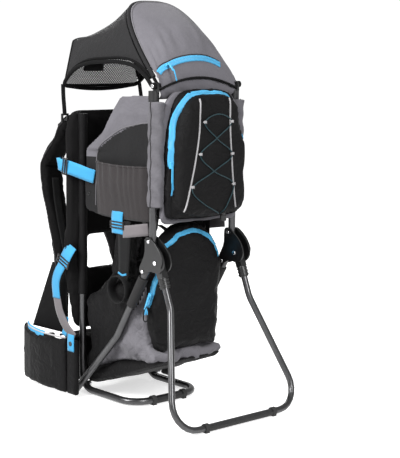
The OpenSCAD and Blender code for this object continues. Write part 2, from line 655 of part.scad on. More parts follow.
module belt_buckle_socket() color([0.07, 0.07, 0.07]) place() on_side(-1) {
  buckle_web(60);
  translate([22, front_reach - 13, belt_mid_z - 25]) difference() {
    cube([38, 13, 50]);
    translate([-1, 3, 7]) cube([34, 7, 36]);
  }
}

module belt_buckle_plug() color([0.07, 0.07, 0.07]) place() {
  buckle_web(40);
  translate([22, front_reach - 13, belt_mid_z - 22]) cube([18, 13, 44]);
  for (z = [-15, 0, 15]) translate([0, front_reach - 9, belt_mid_z - 3 + z]) cube([22, 5, 6]);
}

front_frame_tube();
floor_loop_foot();
pivot_bolts();
pivot_washers();
rear_tube_left();
rear_tube_right();
rear_crossbar();
lower_tube_plugs();
foam_sleeves();
upright_sleeves();
hinge_cover_outer_left();
hinge_cover_inner_left();
hinge_cover_outer_right();
hinge_cover_inner_right();
hinge_rivets();
kickstand_pins();
kickstand_tube();
kickstand_sockets();
kickstand_foot();
canopy_clips();
canopy_pins();
canopy_main_hoop();
canopy_rear_panel();
canopy_roof();
canopy_front_hoop();
canopy_front_mesh();
canopy_straps();
canopy_hooks();
canopy_zip_slider();
rear_panel();
upper_pocket();
upper_zip_slider();
bungee_cord();
cord_lock();
cord_lock_button();
lower_pocket();
lower_zip_slider();
storage_body();
storage_base();
seat();
side_panel_left();
side_panel_right();
side_pocket_left();
side_pocket_right();
child_harness();
harness_buckle();
harness_button();
stirrup_left();
stirrup_right();
side_straps();
back_panel();
lumbar_pad();
shoulder_strap_left();
shoulder_strap_right();
shoulder_webbing();
hip_belt_sides();
hip_belt_wing_left();
hip_belt_wing_right();
belt_buckle_socket();
belt_buckle_plug();
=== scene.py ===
import json
import math

import bmesh
import bpy
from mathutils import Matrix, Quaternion, Vector, noise
from mathutils.bvhtree import BVHTree

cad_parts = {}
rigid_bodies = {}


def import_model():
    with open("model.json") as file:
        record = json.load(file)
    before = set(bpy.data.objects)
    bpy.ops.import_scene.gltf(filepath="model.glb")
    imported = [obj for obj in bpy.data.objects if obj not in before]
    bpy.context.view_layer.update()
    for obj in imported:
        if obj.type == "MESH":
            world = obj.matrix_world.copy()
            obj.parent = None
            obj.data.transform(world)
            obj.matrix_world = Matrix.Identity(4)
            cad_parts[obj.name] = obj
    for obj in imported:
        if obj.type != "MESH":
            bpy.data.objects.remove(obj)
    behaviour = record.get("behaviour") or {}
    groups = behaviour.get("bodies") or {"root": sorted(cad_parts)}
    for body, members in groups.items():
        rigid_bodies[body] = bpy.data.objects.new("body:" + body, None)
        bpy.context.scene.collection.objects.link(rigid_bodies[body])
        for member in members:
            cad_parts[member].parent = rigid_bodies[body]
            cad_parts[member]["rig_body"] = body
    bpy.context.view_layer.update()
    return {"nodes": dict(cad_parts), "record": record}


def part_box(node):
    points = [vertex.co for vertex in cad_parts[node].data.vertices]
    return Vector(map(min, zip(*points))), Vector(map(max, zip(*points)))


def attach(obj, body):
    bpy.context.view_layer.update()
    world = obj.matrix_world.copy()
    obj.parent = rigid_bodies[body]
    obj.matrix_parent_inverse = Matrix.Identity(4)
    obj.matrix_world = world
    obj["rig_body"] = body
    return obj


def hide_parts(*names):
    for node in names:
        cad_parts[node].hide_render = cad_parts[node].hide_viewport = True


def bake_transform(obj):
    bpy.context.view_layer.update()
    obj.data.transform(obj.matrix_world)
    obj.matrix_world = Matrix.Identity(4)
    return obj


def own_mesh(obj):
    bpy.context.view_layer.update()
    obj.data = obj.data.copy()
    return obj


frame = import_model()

MM = 0.001
low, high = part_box("rear_crossbar")
REAR = (low.y + high.y) / 2  # the plane of the rear uprights
SIDES = (("left", -1), ("right", 1))
noise.seed_set(7)  # otherwise the folds would be drawn anew from the clock on each run


def at(x, y, z):
    """A point in millimetres, measured forward from the rear uprights."""
    return Vector((x * MM, y * MM + REAR, z * MM))


# ---------------------------------------------------------------- finishes


def blank(name):
    """A material with nothing in it but a shader and its output."""
    finish = bpy.data.materials.new(name)
    finish.use_nodes = True
    tree = finish.node_tree
    tree.nodes.clear()
    shader = tree.nodes.new("ShaderNodeBsdfPrincipled")
    out = tree.nodes.new("ShaderNodeOutputMaterial")
    tree.links.new(shader.outputs[0], out.inputs[0])
    return finish, tree, shader


def add(tree, kind, settings=(), **sockets):
    """Adds a node; a socket is given a number, a colour or another node's output."""
    node = tree.nodes.new("ShaderNode" + kind)
    for key, value in dict(settings).items():
        setattr(node, key, value)
    for key, value in sockets.items():
        socket = node.inputs[int(key[1:]) if key[1:].isdigit() else key.replace("_", " ")]
        if isinstance(value, bpy.types.NodeSocket):
            tree.links.new(value, socket)
        else:
            socket.default_value = value
    return node


def maths(tree, operation, a, b=0.0):
    return add(tree, "Math", {"operation": operation}, _0=a, _1=b).outputs[0]


def tint(colour, amount):
    """The colour made lighter or darker, as a shader takes it."""
    return tuple(min(1.0, c * amount) for c in colour) + (1.0,)


def mixed(tree, share, first, second):
    """Goes from the first colour to the second as share goes from 0 to 1."""
    node = add(tree, "Mix", {"data_type": "RGBA"})
    tree.links.new(share, node.inputs[0])
    for slot, value in ((6, first), (7, second)):
        if isinstance(value, bpy.types.NodeSocket):
            tree.links.new(value, node.inputs[slot])
        else:
            node.inputs[slot].default_value = value
    return node.outputs[2]


def spread(tree, value, low_to, high_to, low_from=0.0, high_from=1.0):
    """Carries a value from one range to another."""
    return add(tree, "MapRange", Value=value, From_Min=low_from, From_Max=high_from,
               To_Min=low_to, To_Max=high_to).outputs[0]


WAVE_AT_ONE = 0.314  # what a wave texture's scale is divided by to give one band per pitch


def bands(tree, where, pitch, direction, distortion=0.0):
    """Even bands, one every pitch metres."""
    return add(tree, "TexWave", {"bands_direction": direction}, Vector=where, Scale=WAVE_AT_ONE / pitch,
               Distortion=distortion, Detail=1.0).outputs[1]


def woven(name, colour, thread=0.0012, rough=0.85, sheen=0.12, relief=0.35, crush=0.0, on_uv=True,
          wear_and_weave_highlight=1.25, ribs=False, gloss=0.22):
    """Woven cloth: warp and weft, with the raised threads painted lighter than the hollows between them
    (painted light and shade of the weave), uneven dye, dust on it and a softly creased face.
    """
    finish, tree, shader = blank(name)
    place = add(tree, "TexCoord").outputs["UV" if on_uv else "Object"]
    solid = add(tree, "TexCoord").outputs["Object"]
    warp = bands(tree, place, thread, "X", 0.4)
    weft = bands(tree, place, thread * (1.6 if ribs else 1.0), "Y" if on_uv else "Z", 0.4)
    cloth = maths(tree, "MULTIPLY", warp, weft) if not ribs else weft
    dye = add(tree, "TexNoise", Vector=solid, Scale=9.0, Detail=5.0, Roughness=0.6).outputs[0]
    lint = add(tree, "TexNoise", Vector=solid, Scale=420.0, Detail=2.0).outputs[0]
    crease = add(tree, "TexNoise", Vector=solid, Scale=38.0, Detail=3.0, Distortion=1.2).outputs[0]
    ground = mixed(tree, spread(tree, dye, 0.0, 1.0, 0.3, 0.7), tint(colour, 0.84), tint(colour, 1.12))
    # painted light and shade of the weave: the thread tops are drawn lighter and the hollows between them
    # darker
    threads = mixed(tree, spread(tree, cloth, 0.0, 0.35), ground, tint(colour, wear_and_weave_highlight))
    weave_shade_and_dust = mixed(tree, spread(tree, lint, 0.0, 0.22, 0.45, 0.75), threads, tint(colour, wear_and_weave_highlight * 1.15))
    tree.links.new(weave_shade_and_dust, shader.inputs["Base Color"])
    tree.links.new(spread(tree, dye, rough - 0.07, rough + 0.07), shader.inputs["Roughness"])
    shader.inputs["Sheen Weight"].default_value = sheen
    shader.inputs["Sheen Roughness"].default_value = 0.45
    shader.inputs["Specular IOR Level"].default_value = gloss
    soft = add(tree, "Bump", Strength=crush, Distance=0.006, Height=crease)
    fine = add(tree, "Bump", Strength=relief, Distance=0.0005, Height=cloth, Normal=soft.outputs[0])
    tree.links.new(fine.outputs[0], shader.inputs["Normal"])
    return finish


def moulded(name, colour, rough=0.45, grain=700.0, relief=0.25, metal=0.0, wear_and_weave_highlight=2.0, coat=0.0):
    """Moulded plastic, rubber or coated metal, with a fine grain and lighter, rubbed edges."""
    finish, tree, shader = blank(name)
    solid = add(tree, "TexCoord").outputs["Object"]
    speckle = add(tree, "TexNoise", Vector=solid, Scale=grain, Detail=3.0).outputs[0]
    cloud = add(tree, "TexNoise", Vector=solid, Scale=22.0, Detail=4.0, Roughness=0.65).outputs[0]
    scuffs = add(tree, "TexNoise", Vector=solid, Scale=160.0, Detail=6.0, Roughness=0.8).outputs[0]
    edge = spread(tree, add(tree, "NewGeometry").outputs["Pointiness"], 0.0, 0.75, 0.52, 0.62)
    rubbed = maths(tree, "MULTIPLY", edge, spread(tree, scuffs, 0.2, 1.0, 0.4, 0.65))
    ground = mixed(tree, spread(tree, cloud, 0.0, 1.0, 0.35, 0.65), tint(colour, 0.88), tint(colour, 1.12))
    tree.links.new(mixed(tree, rubbed, ground, tint(colour, wear_and_weave_highlight)), shader.inputs["Base Color"])
    tree.links.new(spread(tree, scuffs, rough - 0.06, rough + 0.09, 0.3, 0.7), shader.inputs["Roughness"])
    shader.inputs["Metallic"].default_value = metal
    shader.inputs["Coat Weight"].default_value = coat
    shader.inputs["Coat Roughness"].default_value = 0.25
    bump = add(tree, "Bump", Strength=relief, Distance=0.0002, Height=speckle)
    tree.links.new(bump.outputs[0], shader.inputs["Normal"])
    return finish


def netting(name, colour, pitch=0.0042):
    """Open net: round holes in staggered rows, cut through the cloth."""
    finish, tree, shader = blank(name)
    place = add(tree, "TexCoord").outputs["UV"]
    turned = add(tree, "Mapping", Vector=place)
    turned.inputs["Rotation"].default_value = (0.0, 0.0, math.radians(45))
    across = bands(tree, turned.outputs[0], pitch, "X")
    along = bands(tree, turned.outputs[0], pitch, "Y")
    hole = maths(tree, "MULTIPLY", across, along)
    solid = add(tree, "TexCoord").outputs["Object"]
    dye = add(tree, "TexNoise", Vector=solid, Scale=14.0, Detail=4.0).outputs[0]
    ground = mixed(tree, spread(tree, dye, 0.0, 1.0, 0.3, 0.7), tint(colour, 0.8), tint(colour, 1.2))
    tree.links.new(mixed(tree, spread(tree, hole, 0.0, 1.0, 0.2, 0.6), ground, tint(colour, 0.35)),
                   shader.inputs["Base Color"])
    tree.links.new(spread(tree, hole, 1.0, 0.25, 0.46, 0.56), shader.inputs["Alpha"])
    shader.inputs["Roughness"].default_value = 0.8
    shader.inputs["Sheen Weight"].default_value = 0.2
    bump = add(tree, "Bump", Strength=0.4, Distance=0.0006, Height=hole)
    bump.invert = True
    tree.links.new(bump.outputs[0], shader.inputs["Normal"])
    return finish


def coil_zip(name, colour, half=0.0022):
    """Zip tape: woven tape with a row of close teeth down the middle."""
    finish, tree, shader = blank(name)
    place = add(tree, "TexCoord").outputs["UV"]
    parts = add(tree, "SeparateXYZ", Vector=place)
    middle = maths(tree, "LESS_THAN", maths(tree, "ABSOLUTE", parts.outputs[0]), half)
    teeth = bands(tree, place, 0.0026, "Y")
    tape = bands(tree, place, 0.0011, "Y", 0.6)
    solid = add(tree, "TexCoord").outputs["Object"]
    dye = add(tree, "TexNoise", Vector=solid, Scale=30.0, Detail=4.0).outputs[0]
    ground = mixed(tree, spread(tree, dye, 0.0, 1.0, 0.3, 0.7), tint(colour, 0.88), tint(colour, 1.08))
    toothed = mixed(tree, teeth, tint(colour, 0.55), tint(colour, 1.15))
    tree.links.new(mixed(tree, middle, ground, toothed), shader.inputs["Base Color"])
    tree.links.new(spread(tree, middle, 0.75, 0.35), shader.inputs["Roughness"])
    height = add(tree, "Mix", _0=middle, _2=tape, _3=teeth).outputs[0]
    bump = add(tree, "Bump", Strength=0.5, Distance=0.0008, Height=height)
    tree.links.new(bump.outputs[0], shader.inputs["Normal"])
    return finish


BLUE = (0.07, 0.40, 0.69)
GREY = (0.136, 0.131, 0.146)
BLACK = (0.0042, 0.004, 0.0043)
DULL = {"sheen": 0.01, "gloss": 0.11}  # dyed black nylon throws back little light
WEBBING = {"thread": 0.0015, "relief": 0.8, "ribs": True}
shell_grey = woven("grey_shell_cloth", GREY, crush=0.25)
pad_grey = woven("grey_shell_cloth_padded", GREY, crush=0.25, on_uv=False)
bag_grey = woven("grey_crinkled_cloth", (0.15, 0.145, 0.16), crush=0.9, on_uv=False, rough=0.7)
# the same grey cloth as the shell, painted darker: the shade on the uprights' padding is painted into its
# colour
sleeve_grey_painted_shade = woven("grey_sleeve_cloth_painted_shade", (0.12, 0.116, 0.128), crush=0.5)
roof_cloth = woven("charcoal_roof_cloth", (0.0125, 0.0122, 0.013), crush=0.3, rough=0.75, sheen=0.05)
shell_black = woven("black_shell_cloth", BLACK, crush=0.35, rough=0.62, wear_and_weave_highlight=1.6, **DULL)
pad_black = woven("black_shell_cloth_padded", BLACK, crush=0.7, rough=0.62, on_uv=False, wear_and_weave_highlight=1.6, **DULL)
air_mesh = woven("black_air_mesh", (0.0036, 0.0034, 0.0036), thread=0.0026, relief=0.9, on_uv=False,
                 wear_and_weave_highlight=2.2, **DULL)
leaf_cloth = woven("charcoal_lining_cloth", (0.0105, 0.0102, 0.0108), crush=0.2, wear_and_weave_highlight=1.5, sheen=0.05)
pouch_cloth = woven("taupe_stretch_cloth", (0.036, 0.032, 0.0328), thread=0.0015, crush=0.3, rough=0.9)
black_band = woven("black_binding_tape", (0.0045, 0.0045, 0.0047), ribs=True, wear_and_weave_highlight=2.0, **DULL)
pale_piping = woven("pale_piping", (0.42, 0.41, 0.42), thread=0.0009, sheen=0.4, wear_and_weave_highlight=1.15)
dark_piping = woven("dark_grey_piping", (0.03, 0.029, 0.03), thread=0.0009, wear_and_weave_highlight=1.3, sheen=0.05)
grey_piping = woven("grey_piping", (0.15, 0.145, 0.155), thread=0.0009, wear_and_weave_highlight=1.2)
blue_web = woven("blue_webbing", (0.05, 0.33, 0.60), sheen=0.3, wear_and_weave_highlight=1.2, **WEBBING)
grey_web = woven("grey_webbing", (0.17, 0.155, 0.162), sheen=0.3, **WEBBING)
black_web = woven("black_webbing", (0.005, 0.005, 0.0053), wear_and_weave_highlight=2.0, sheen=0.04, **WEBBING)
elastic = woven("teal_braided_elastic", (0.018, 0.05, 0.06), thread=0.0008, relief=0.8, wear_and_weave_highlight=1.8)
blue_zip = coil_zip("blue_coil_zip", BLUE)
net = netting("grey_open_net", (0.07, 0.07, 0.072), pitch=0.0046)
tube_paint = moulded("satin_graphite_tube", (0.06, 0.06, 0.062), rough=0.3, metal=0.85, relief=0.12, coat=0.2)
nylon = moulded("black_moulded_nylon", (0.0055, 0.0055, 0.0058), rough=0.36, wear_and_weave_highlight=3.0)
rubber = moulded("black_rubber", (0.016, 0.016, 0.016), rough=0.75, grain=420.0, relief=0.5)
foam = moulded("black_foam_sleeve", (0.011, 0.0105, 0.011), rough=0.9, grain=900.0, relief=0.8)
zinc = moulded("bright_zinc", (0.72, 0.72, 0.73), rough=0.22, metal=1.0, relief=0.05, wear_and_weave_highlight=1.2)
slider_blue = moulded("blue_coated_slider", BLUE, rough=0.35, wear_and_weave_highlight=1.4)
release_red = moulded("red_release_button", (0.45, 0.02, 0.015), rough=0.3, wear_and_weave_highlight=1.6)


# ---------------------------------------------------------------- ways of making


def surface(steps, place, size, loop=False):
    """A grid of faces bent to place(u, v), each from 0 to 1, with a map in metres centred across."""
    shape = bmesh.new()
    bmesh.ops.create_grid(shape, x_segments=steps[0], y_segments=steps[1], size=1.0)
    reach = max(v.co.x for v in shape.verts)
    plan = {v: (v.co.x / reach / 2 + 0.5, v.co.y / reach / 2 + 0.5) for v in shape.verts}
    weave = shape.loops.layers.uv.new("weave")
    for face in shape.faces:
        for corner in face.loops:
            u, v = plan[corner.vert]
            corner[weave].uv = ((u - 0.5) * size[0], v * size[1])
    for vert, (u, v) in plan.items():
        vert.co = place(u, v)
    if loop:
        bmesh.ops.remove_doubles(shape, verts=shape.verts, dist=2e-6)
        bmesh.ops.holes_fill(shape, edges=[e for e in shape.edges if e.is_boundary], sides=0)
    return shape


STEPS_BETWEEN = 16  # points worked out between two given ones, before they are spaced evenly


def eased(points, count):
    """An even, smooth curve through the points, cut into count lengths."""
    pts = [Vector(p) for p in points]
    ends = [2 * pts[0] - pts[1], *pts, 2 * pts[-1] - pts[-2]]
    fine = []
    for i in range(len(pts) - 1):
        a, b, c, d = ends[i:i + 4]
        for k in range(STEPS_BETWEEN):
            t = k / STEPS_BETWEEN
            fine.append(0.5 * (2 * b + (c - a) * t + (2 * a - 5 * b + 4 * c - d) * t ** 2
                               + (3 * b - a - 3 * c + d) * t ** 3))
    fine.append(pts[-1])
    runs = [0.0]
    for p, q in zip(fine, fine[1:]):
        runs.append(runs[-1] + (q - p).length)
    even, i = [], 0
    for k in range(count + 1):
        goal = runs[-1] * k / count
        while i < len(runs) - 2 and runs[i + 1] < goal:
            i += 1
        share = (goal - runs[i]) / max(runs[i + 1] - runs[i], 1e-9)
        even.append(fine[i].lerp(fine[i + 1], share))
    return even


def route(points, count, side=1):
    """The same from (x, y, z) in millimetres; side -1 lays it out on the left."""
    return eased([at(side * x, y, z) for x, y, z in points], count)


def turns(per_half, count):
    """Angles in even steps, per_half of them to half a turn."""
    return [k * math.pi / per_half for k in range(count)]


def length_of(path):
    return sum((b - a).length for a, b in zip(path, path[1:]))


def direction(path, i):
    return (path[min(i + 1, len(path) - 1)] - path[max(i - 1, 0)]).normalized()


def along(path, v):
    """The stretch of path that holds the share v of it, and how far into it."""
    spot = v * (len(path) - 1)
    i = min(int(spot), len(path) - 2)
    return i, spot - i


def ribbon(path, width, across=(1, 0, 0), normals=None, bow=0.0, ends=None, steps=4):
    """A flat band along path, held square to it: across a fixed way, or lying on the given normals."""
    sideways = []
    for i in range(len(path)):
        t = direction(path, i)
        a = t.cross(normals[i]) if normals else Vector(across)
        sideways.append((a - t * a.dot(t)).normalized())

    def place(u, v):
        i, f = along(path, v)
        side = sideways[i].lerp(sideways[i + 1], f).normalized()
        up = side.cross(direction(path, i)).normalized()
        wide = width(v) if callable(width) else width
        return path[i].lerp(path[i + 1], f) + side * (u - 0.5) * wide + up * bow * (1 - (2 * u - 1) ** 2)

    size = (width(0.5) if callable(width) else width, length_of(path))
    return surface((steps, len(path) - 1), place, size)


def round_cord(path, radius, sides=10, flat=1.0, lean=(0, 0, 1)):
    """A closed round or oval cord along path."""
    ups = []
    guide = Vector(lean)
    for i in range(len(path)):
        t = direction(path, i)
        guide = (guide - t * guide.dot(t)).normalized()
        ups.append(guide.copy())

    def place(u, v):
        i, f = along(path, v)
        t, up = direction(path, i), ups[min(i + round(f), len(path) - 1)]
        angle = 2 * math.pi * u
        out = up * math.cos(angle) * flat + t.cross(up) * math.sin(angle)
        return path[i].lerp(path[i + 1], f) + out * (radius(v) if callable(radius) else radius)

    return surface((sides, len(path) - 1), place, (0.02, length_of(path)), loop=True)


def keep_map(shape):
    """Gives a shape that has no map a flat one, seen from the way each face looks."""
    if not shape.loops.layers.uv:
        weave = shape.loops.layers.uv.new("weave")
        for face in shape.faces:
            n = face.normal
            for corner in face.loops:
                c = corner.vert.co
                other = c.z if abs(n.y) > abs(n.z) else c.y
                flat = (c.y, c.z) if abs(n.x) > max(abs(n.y), abs(n.z)) else (c.x, other)
                corner[weave].uv = flat
    return shape


def piece(name, shapes, finish, body, stands_for=(), thick=0.0, rounds=0, edge=0.0, sharp=40.0):
    """Joins the shapes into one named piece, finishes it and hangs it on its body."""
    whole = bmesh.new()
    for shape in shapes:
        keep_map(shape)
        part = bpy.data.meshes.new("part")
        shape.to_mesh(part)
        shape.free()
        whole.from_mesh(part)
        bpy.data.meshes.remove(part)
    if not thick:
        bmesh.ops.recalc_face_normals(whole, faces=whole.faces)
    mesh = bpy.data.meshes.new(name)
    whole.to_mesh(mesh)
    whole.free()
    mesh.shade_smooth()
    obj = bpy.data.objects.new(name, mesh)
    bpy.context.scene.collection.objects.link(obj)
    for material in finish if isinstance(finish, (list, tuple)) else [finish]:
        mesh.materials.append(material)
    if not rounds and not thick:
        mesh.set_sharp_from_angle(angle=math.radians(sharp))
    if thick:
        wall = obj.modifiers.new("wall", "SOLIDIFY")
        wall.thickness, wall.offset, wall.use_even_offset = thick, 0.0, True
    if edge:
        rub = obj.modifiers.new("rounded_edges", "BEVEL")
        rub.width, rub.segments, rub.limit_method, rub.angle_limit = edge, 2, "ANGLE", math.radians(35)
    if rounds:
        turn = obj.modifiers.new("rounding", "SUBSURF")
        turn.levels = turn.render_levels = rounds
    if body:
        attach(obj, body)
    for node in [stands_for] if isinstance(stands_for, str) else stands_for:
        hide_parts(node)
    return obj


def copied(node):
    """A CAD node's shape as one clean mesh."""
    shape = bmesh.new()
    shape.from_mesh(frame["nodes"][node].data)
    bmesh.ops.remove_doubles(shape, verts=shape.verts, dist=1e-5)
    bmesh.ops.dissolve_limit(shape, angle_limit=math.radians(0.6), verts=shape.verts, edges=shape.edges)
    bmesh.ops.recalc_face_normals(shape, faces=shape.faces)
    return shape


def body_of(node):
    return next(b for b, nodes in frame["record"]["behaviour"]["bodies"].items() if node in nodes)


def machined(node, finish, name, edge=0.0006):
    """A hard part: the CAD node's own shape with its edges rubbed round."""
    return piece(name, [copied(node)], finish, body_of(node), node, edge=edge)


def applied(obj):
    """Makes the modifiers part of the mesh."""
    graph = bpy.context.evaluated_depsgraph_get()
    mesh = bpy.data.meshes.new_from_object(obj.evaluated_get(graph), depsgraph=graph)
    obj.modifiers.clear()
    old, obj.data = obj.data, mesh
    mesh.name = obj.name
    bpy.data.meshes.remove(old)
    return obj


def skin_of(obj):
    points = [v.co.copy() for v in obj.data.vertices]
    return BVHTree.FromPolygons(points, [tuple(p.vertices) for p in obj.data.polygons])


def laid_on(skin, path, lift):
    """The path dropped on a skin, and the skin's normals there."""
    spots, normals = [], []
    for p in path:
        spot, normal, _, _ = skin.find_nearest(p)
        if (p - spot).dot(normal) < 0 and (p - spot).length > 0.02:
            normal = -normal
        spots.append(spot + normal * lift)
        normals.append(normal)
    return spots, normals


def cast_on(skin, path, aim, lift):
    """The path carried along aim until it meets the skin."""
    spots, normals = [], []
    for p in path:
        spot, normal, _, _ = skin.ray_cast(p, Vector(aim))
        if spot is None:
            spot, normal, _, _ = skin.find_nearest(p)
        spots.append(spot + normal * lift)
        normals.append(normal)
    return spots, normals


# ---------------------------------------------------------------- frame and hard parts

machined("front_frame_tube", tube_paint, "front_frame_painted", edge=0)
for side, _ in SIDES:
    machined("rear_tube_" + side, tube_paint, "rear_tube_painted_" + side, edge=0)
    for layer in ("outer", "inner"):
        machined(f"hinge_cover_{layer}_{side}", nylon, f"hinge_plate_{layer}_{side}", edge=0.0011)
machined("rear_crossbar", tube_paint, "crossbar_painted", edge=0)
machined("kickstand_tube", tube_paint, "kickstand_painted", edge=0)
for node, name in (("floor_loop_foot", "floor_loop_rubber"), ("kickstand_foot", "kickstand_rubber")):
    machined(node, rubber, name, edge=0.0007)
machined("foam_sleeves", foam, "lower_tube_foam", edge=0.0012)
machined("lower_tube_plugs", nylon, "tube_end_plugs")
for node, name in (("pivot_bolts", "pivot_bolt_heads"), ("pivot_washers", "pivot_washer_rings"),
                   ("hinge_rivets", "hinge_rivet_heads"), ("kickstand_pins", "kickstand_pin_heads"),
                   ("canopy_pins", "canopy_pin_heads")):
    machined(node, zinc, name, edge=0.0007)
machined("kickstand_sockets", nylon, "kickstand_ribbed_sockets", edge=0.0012)
machined("canopy_clips", nylon, "canopy_clamp_posts", edge=0.0012)
machined("canopy_hooks", nylon, "canopy_strap_hooks", edge=0.0008)
machined("cord_lock", nylon, "cord_lock_barrel", edge=0.0012)
machined("cord_lock_button", nylon, "cord_lock_plunger", edge=0.0009)
machined("harness_buckle", nylon, "harness_buckle_shell", edge=0.0016)
machined("harness_button", release_red, "harness_release", edge=0.0008)

for side, s in SIDES:
    rim = route([(146.2, y, z) for y, z in ((-46, 378), (-52, 398), (-40, 420), (-20, 438), (-2, 446),
                                            (12, 440))], 24, s)
    piece("hinge_plate_rib_" + side, [round_cord(rim, 0.0016)], nylon, "rear_frame")


# ---------------------------------------------------------------- stuffed and sewn bags

swelling = []  # each padded piece with its cap, pressure, growth and whether some of it is held
SWELL_FRAMES = 16


def stuffed(node, finish, name, voxel=0.006, pressure=4.0, cap=0.010, held=None, grow=0.0, blur=3,
            shape_edit=None):
    """A padded piece: a CAD solid remeshed finely, to be blown up as cloth by swell_all."""
    obj = piece(name, [copied(node)], finish, body_of(node), node)
    cells = obj.modifiers.new("cells", "REMESH")
    cells.mode, cells.voxel_size = "VOXEL", voxel
    soft = obj.modifiers.new("soft", "SMOOTH")
    soft.factor, soft.iterations = 0.5, blur
    applied(obj)
    obj.data.shade_smooth()
    if shape_edit:
        for v in obj.data.vertices:
            v.co = shape_edit(v.co.copy())
    if held:
        group = obj.vertex_groups.new(name="held")
        for v in obj.data.vertices:
            w = held(v.co)
            if w > 0:
                group.add([v.index], w, "REPLACE")
    swelling.append((obj, cap, pressure, grow, bool(held)))
    return obj


def swell_all():
    """Blows every padded piece up together, then keeps each point within its cap."""
    starts = []
    for obj, cap, pressure, grow, held in swelling:
        starts.append([v.co.copy() for v in obj.data.vertices])
        cloth = obj.modifiers.new("swell", "CLOTH")
        cloth.settings.quality = 4
        cloth.settings.mass = 0.25
        cloth.settings.tension_stiffness = cloth.settings.compression_stiffness = 12
        cloth.settings.use_pressure = True
        cloth.settings.uniform_pressure_force = pressure
        cloth.settings.shrink_min = -grow
        cloth.settings.effector_weights.gravity = 0
        cloth.collision_settings.use_collision = False
        if held:
            cloth.settings.vertex_group_mass = "held"
    for frame_number in range(1, SWELL_FRAMES + 1):
        bpy.context.scene.frame_set(frame_number)
    for (obj, cap, *_), start in zip(swelling, starts):
        applied(obj)
        for v, was in zip(obj.data.vertices, start):
            move = v.co - was
            if move.length > cap:
                v.co = was + move * (cap / move.length)
    bpy.context.scene.frame_set(1)
    for obj, *_ in swelling:
        obj.data.shade_smooth()


def near_back(y, deep=8.0):
    """Holds what lies within a few millimetres of the plane y, in millimetres."""
    edge = y * MM + REAR
    return lambda p: 1.0 if abs(p.y - edge) < deep * MM else 0.0


def creased(p, amount=2.0, size=0.05, stretch=(1, 1, 1), seed=0.0):
    """Soft random folds."""
    q = Vector((p.x * stretch[0], p.y * stretch[1], p.z * stretch[2])) / size + Vector((seed, seed, seed))
    return p + Vector(noise.noise_vector(q)) * amount * MM


def hung(p):
    """Lets the foot of the lower pocket hang down over the bag."""
    low = min(1.0, max(0.0, (0.320 - p.z) / 0.140))
    return p + Vector((0, 0, -0.026 * low * low * (3 - 2 * low)))


def base_drop(y):
    """How far the bag's grey shell comes down over its black base, in millimetres, y from the uprights."""
    return 16 + 12 * min(1.0, max(0.0, (y - 10) / 270))


def shallow(p):
    """Thins the black base towards the rear, where the grey shell covers it."""
    y, z = (p.y - REAR) / MM, p.z / MM
    top = 147 - 0.133 * (y - 10) if y < 160 else 127 - 0.26 * (y - 160)
    floor_z = 104 - 0.26 * (y - 10)
    thin = 0.15 + 0.45 * min(1.0, max(0.0, (y - 10) / 150))
    low = top - base_drop(y) - (top - z) * thin
    return Vector((p.x, p.y, max(low, floor_z - 6) * MM))


def upper_folds(p):
    """Broad folds with finer upright ones over them."""
    return creased(creased(p, 2.4, 0.08), 1.2, 0.03, (1, 1, 0.6), 2.9)


def lower_folds(p):
    """The same on the lower pocket, which is slacker and hangs."""
    return creased(creased(hung(p), 4.0, 0.09), 2.0, 0.035, (1, 1, 0.6), 4.2)


BELT_JOIN = 300 * MM + REAR  # where the belt's side pads meet its wings


def short_side(p):
    """Draws in the side pad behind its wing, so that it clears the pivot bolt."""
    return Vector((p.x, BELT_JOIN + (p.y - BELT_JOIN) * (0.5 if p.y < BELT_JOIN else 1), p.z))


upper = stuffed("upper_pocket", pad_black, "upper_pocket_body", voxel=0.005, pressure=3.0, cap=0.007,
                held=near_back(-25, 5), grow=0.01, shape_edit=upper_folds)
lower = stuffed("lower_pocket", pad_black, "lower_pocket_body", voxel=0.006, pressure=4.0, cap=0.011,
                held=near_back(50, 14), grow=0.01, blur=6, shape_edit=lower_folds)
rear = stuffed("rear_panel", pad_grey, "rear_panel_cloth", voxel=0.004, pressure=2.0, cap=0.004, grow=0.02,
               shape_edit=lambda p: creased(Vector((p.x * 0.93, p.y, p.z)), 2.5, 0.045, (1, 1, 0.5)))
seat = stuffed("seat", pad_black, "seat_sling", voxel=0.005, pressure=3.0, cap=0.006)
lumbar = stuffed("lumbar_pad", air_mesh, "lumbar_pad_foam", voxel=0.006, pressure=5.0, cap=0.008)
back = stuffed("back_panel", air_mesh, "back_panel_foam", voxel=0.007, pressure=4.0, cap=0.009)
straps, wings = [], []
for side, _ in SIDES:
    straps.append(stuffed("shoulder_strap_" + side, air_mesh, "shoulder_strap_foam_" + side, voxel=0.005,
                          pressure=5.0, cap=0.006, blur=5))
for side, _ in SIDES:
    wings.append(stuffed("hip_belt_wing_" + side, pad_black, "hip_belt_wing_foam_" + side, voxel=0.005,
                         pressure=4.0, cap=0.006))
hips = stuffed("hip_belt_sides", pad_black, "hip_belt_side_foam", voxel=0.005, pressure=3.0, cap=0.004,
               shape_edit=short_side)


def bag_side(p):
    """Gives the storage bag its sag and its crushed folds."""
    p = creased(p, 5.0, 0.055, (1, 1, 0.7), 3.1)
    return creased(p, 2.5, 0.022, (1, 1, 0.8), 7.7)


def shell_sag(p):
    """The shell's side: folds, and a foot let down over the base."""
    reach = max(0.0, min(1.0, (0.215 - p.z) / 0.06))
    return bag_side(p - Vector((0, 0, base_drop((p.y - REAR) / MM) * MM * reach)))


store = stuffed("storage_body", [bag_grey, pad_black], "storage_bag_shell", voxel=0.006, pressure=4.0,
                cap=0.009, grow=0.03, blur=4, shape_edit=shell_sag)
base = stuffed("storage_base", pad_black, "storage_bag_base", voxel=0.006, pressure=3.0, cap=0.005, blur=3,
               shape_edit=lambda p: creased(shallow(p), 2.5, 0.06))
swell_all()

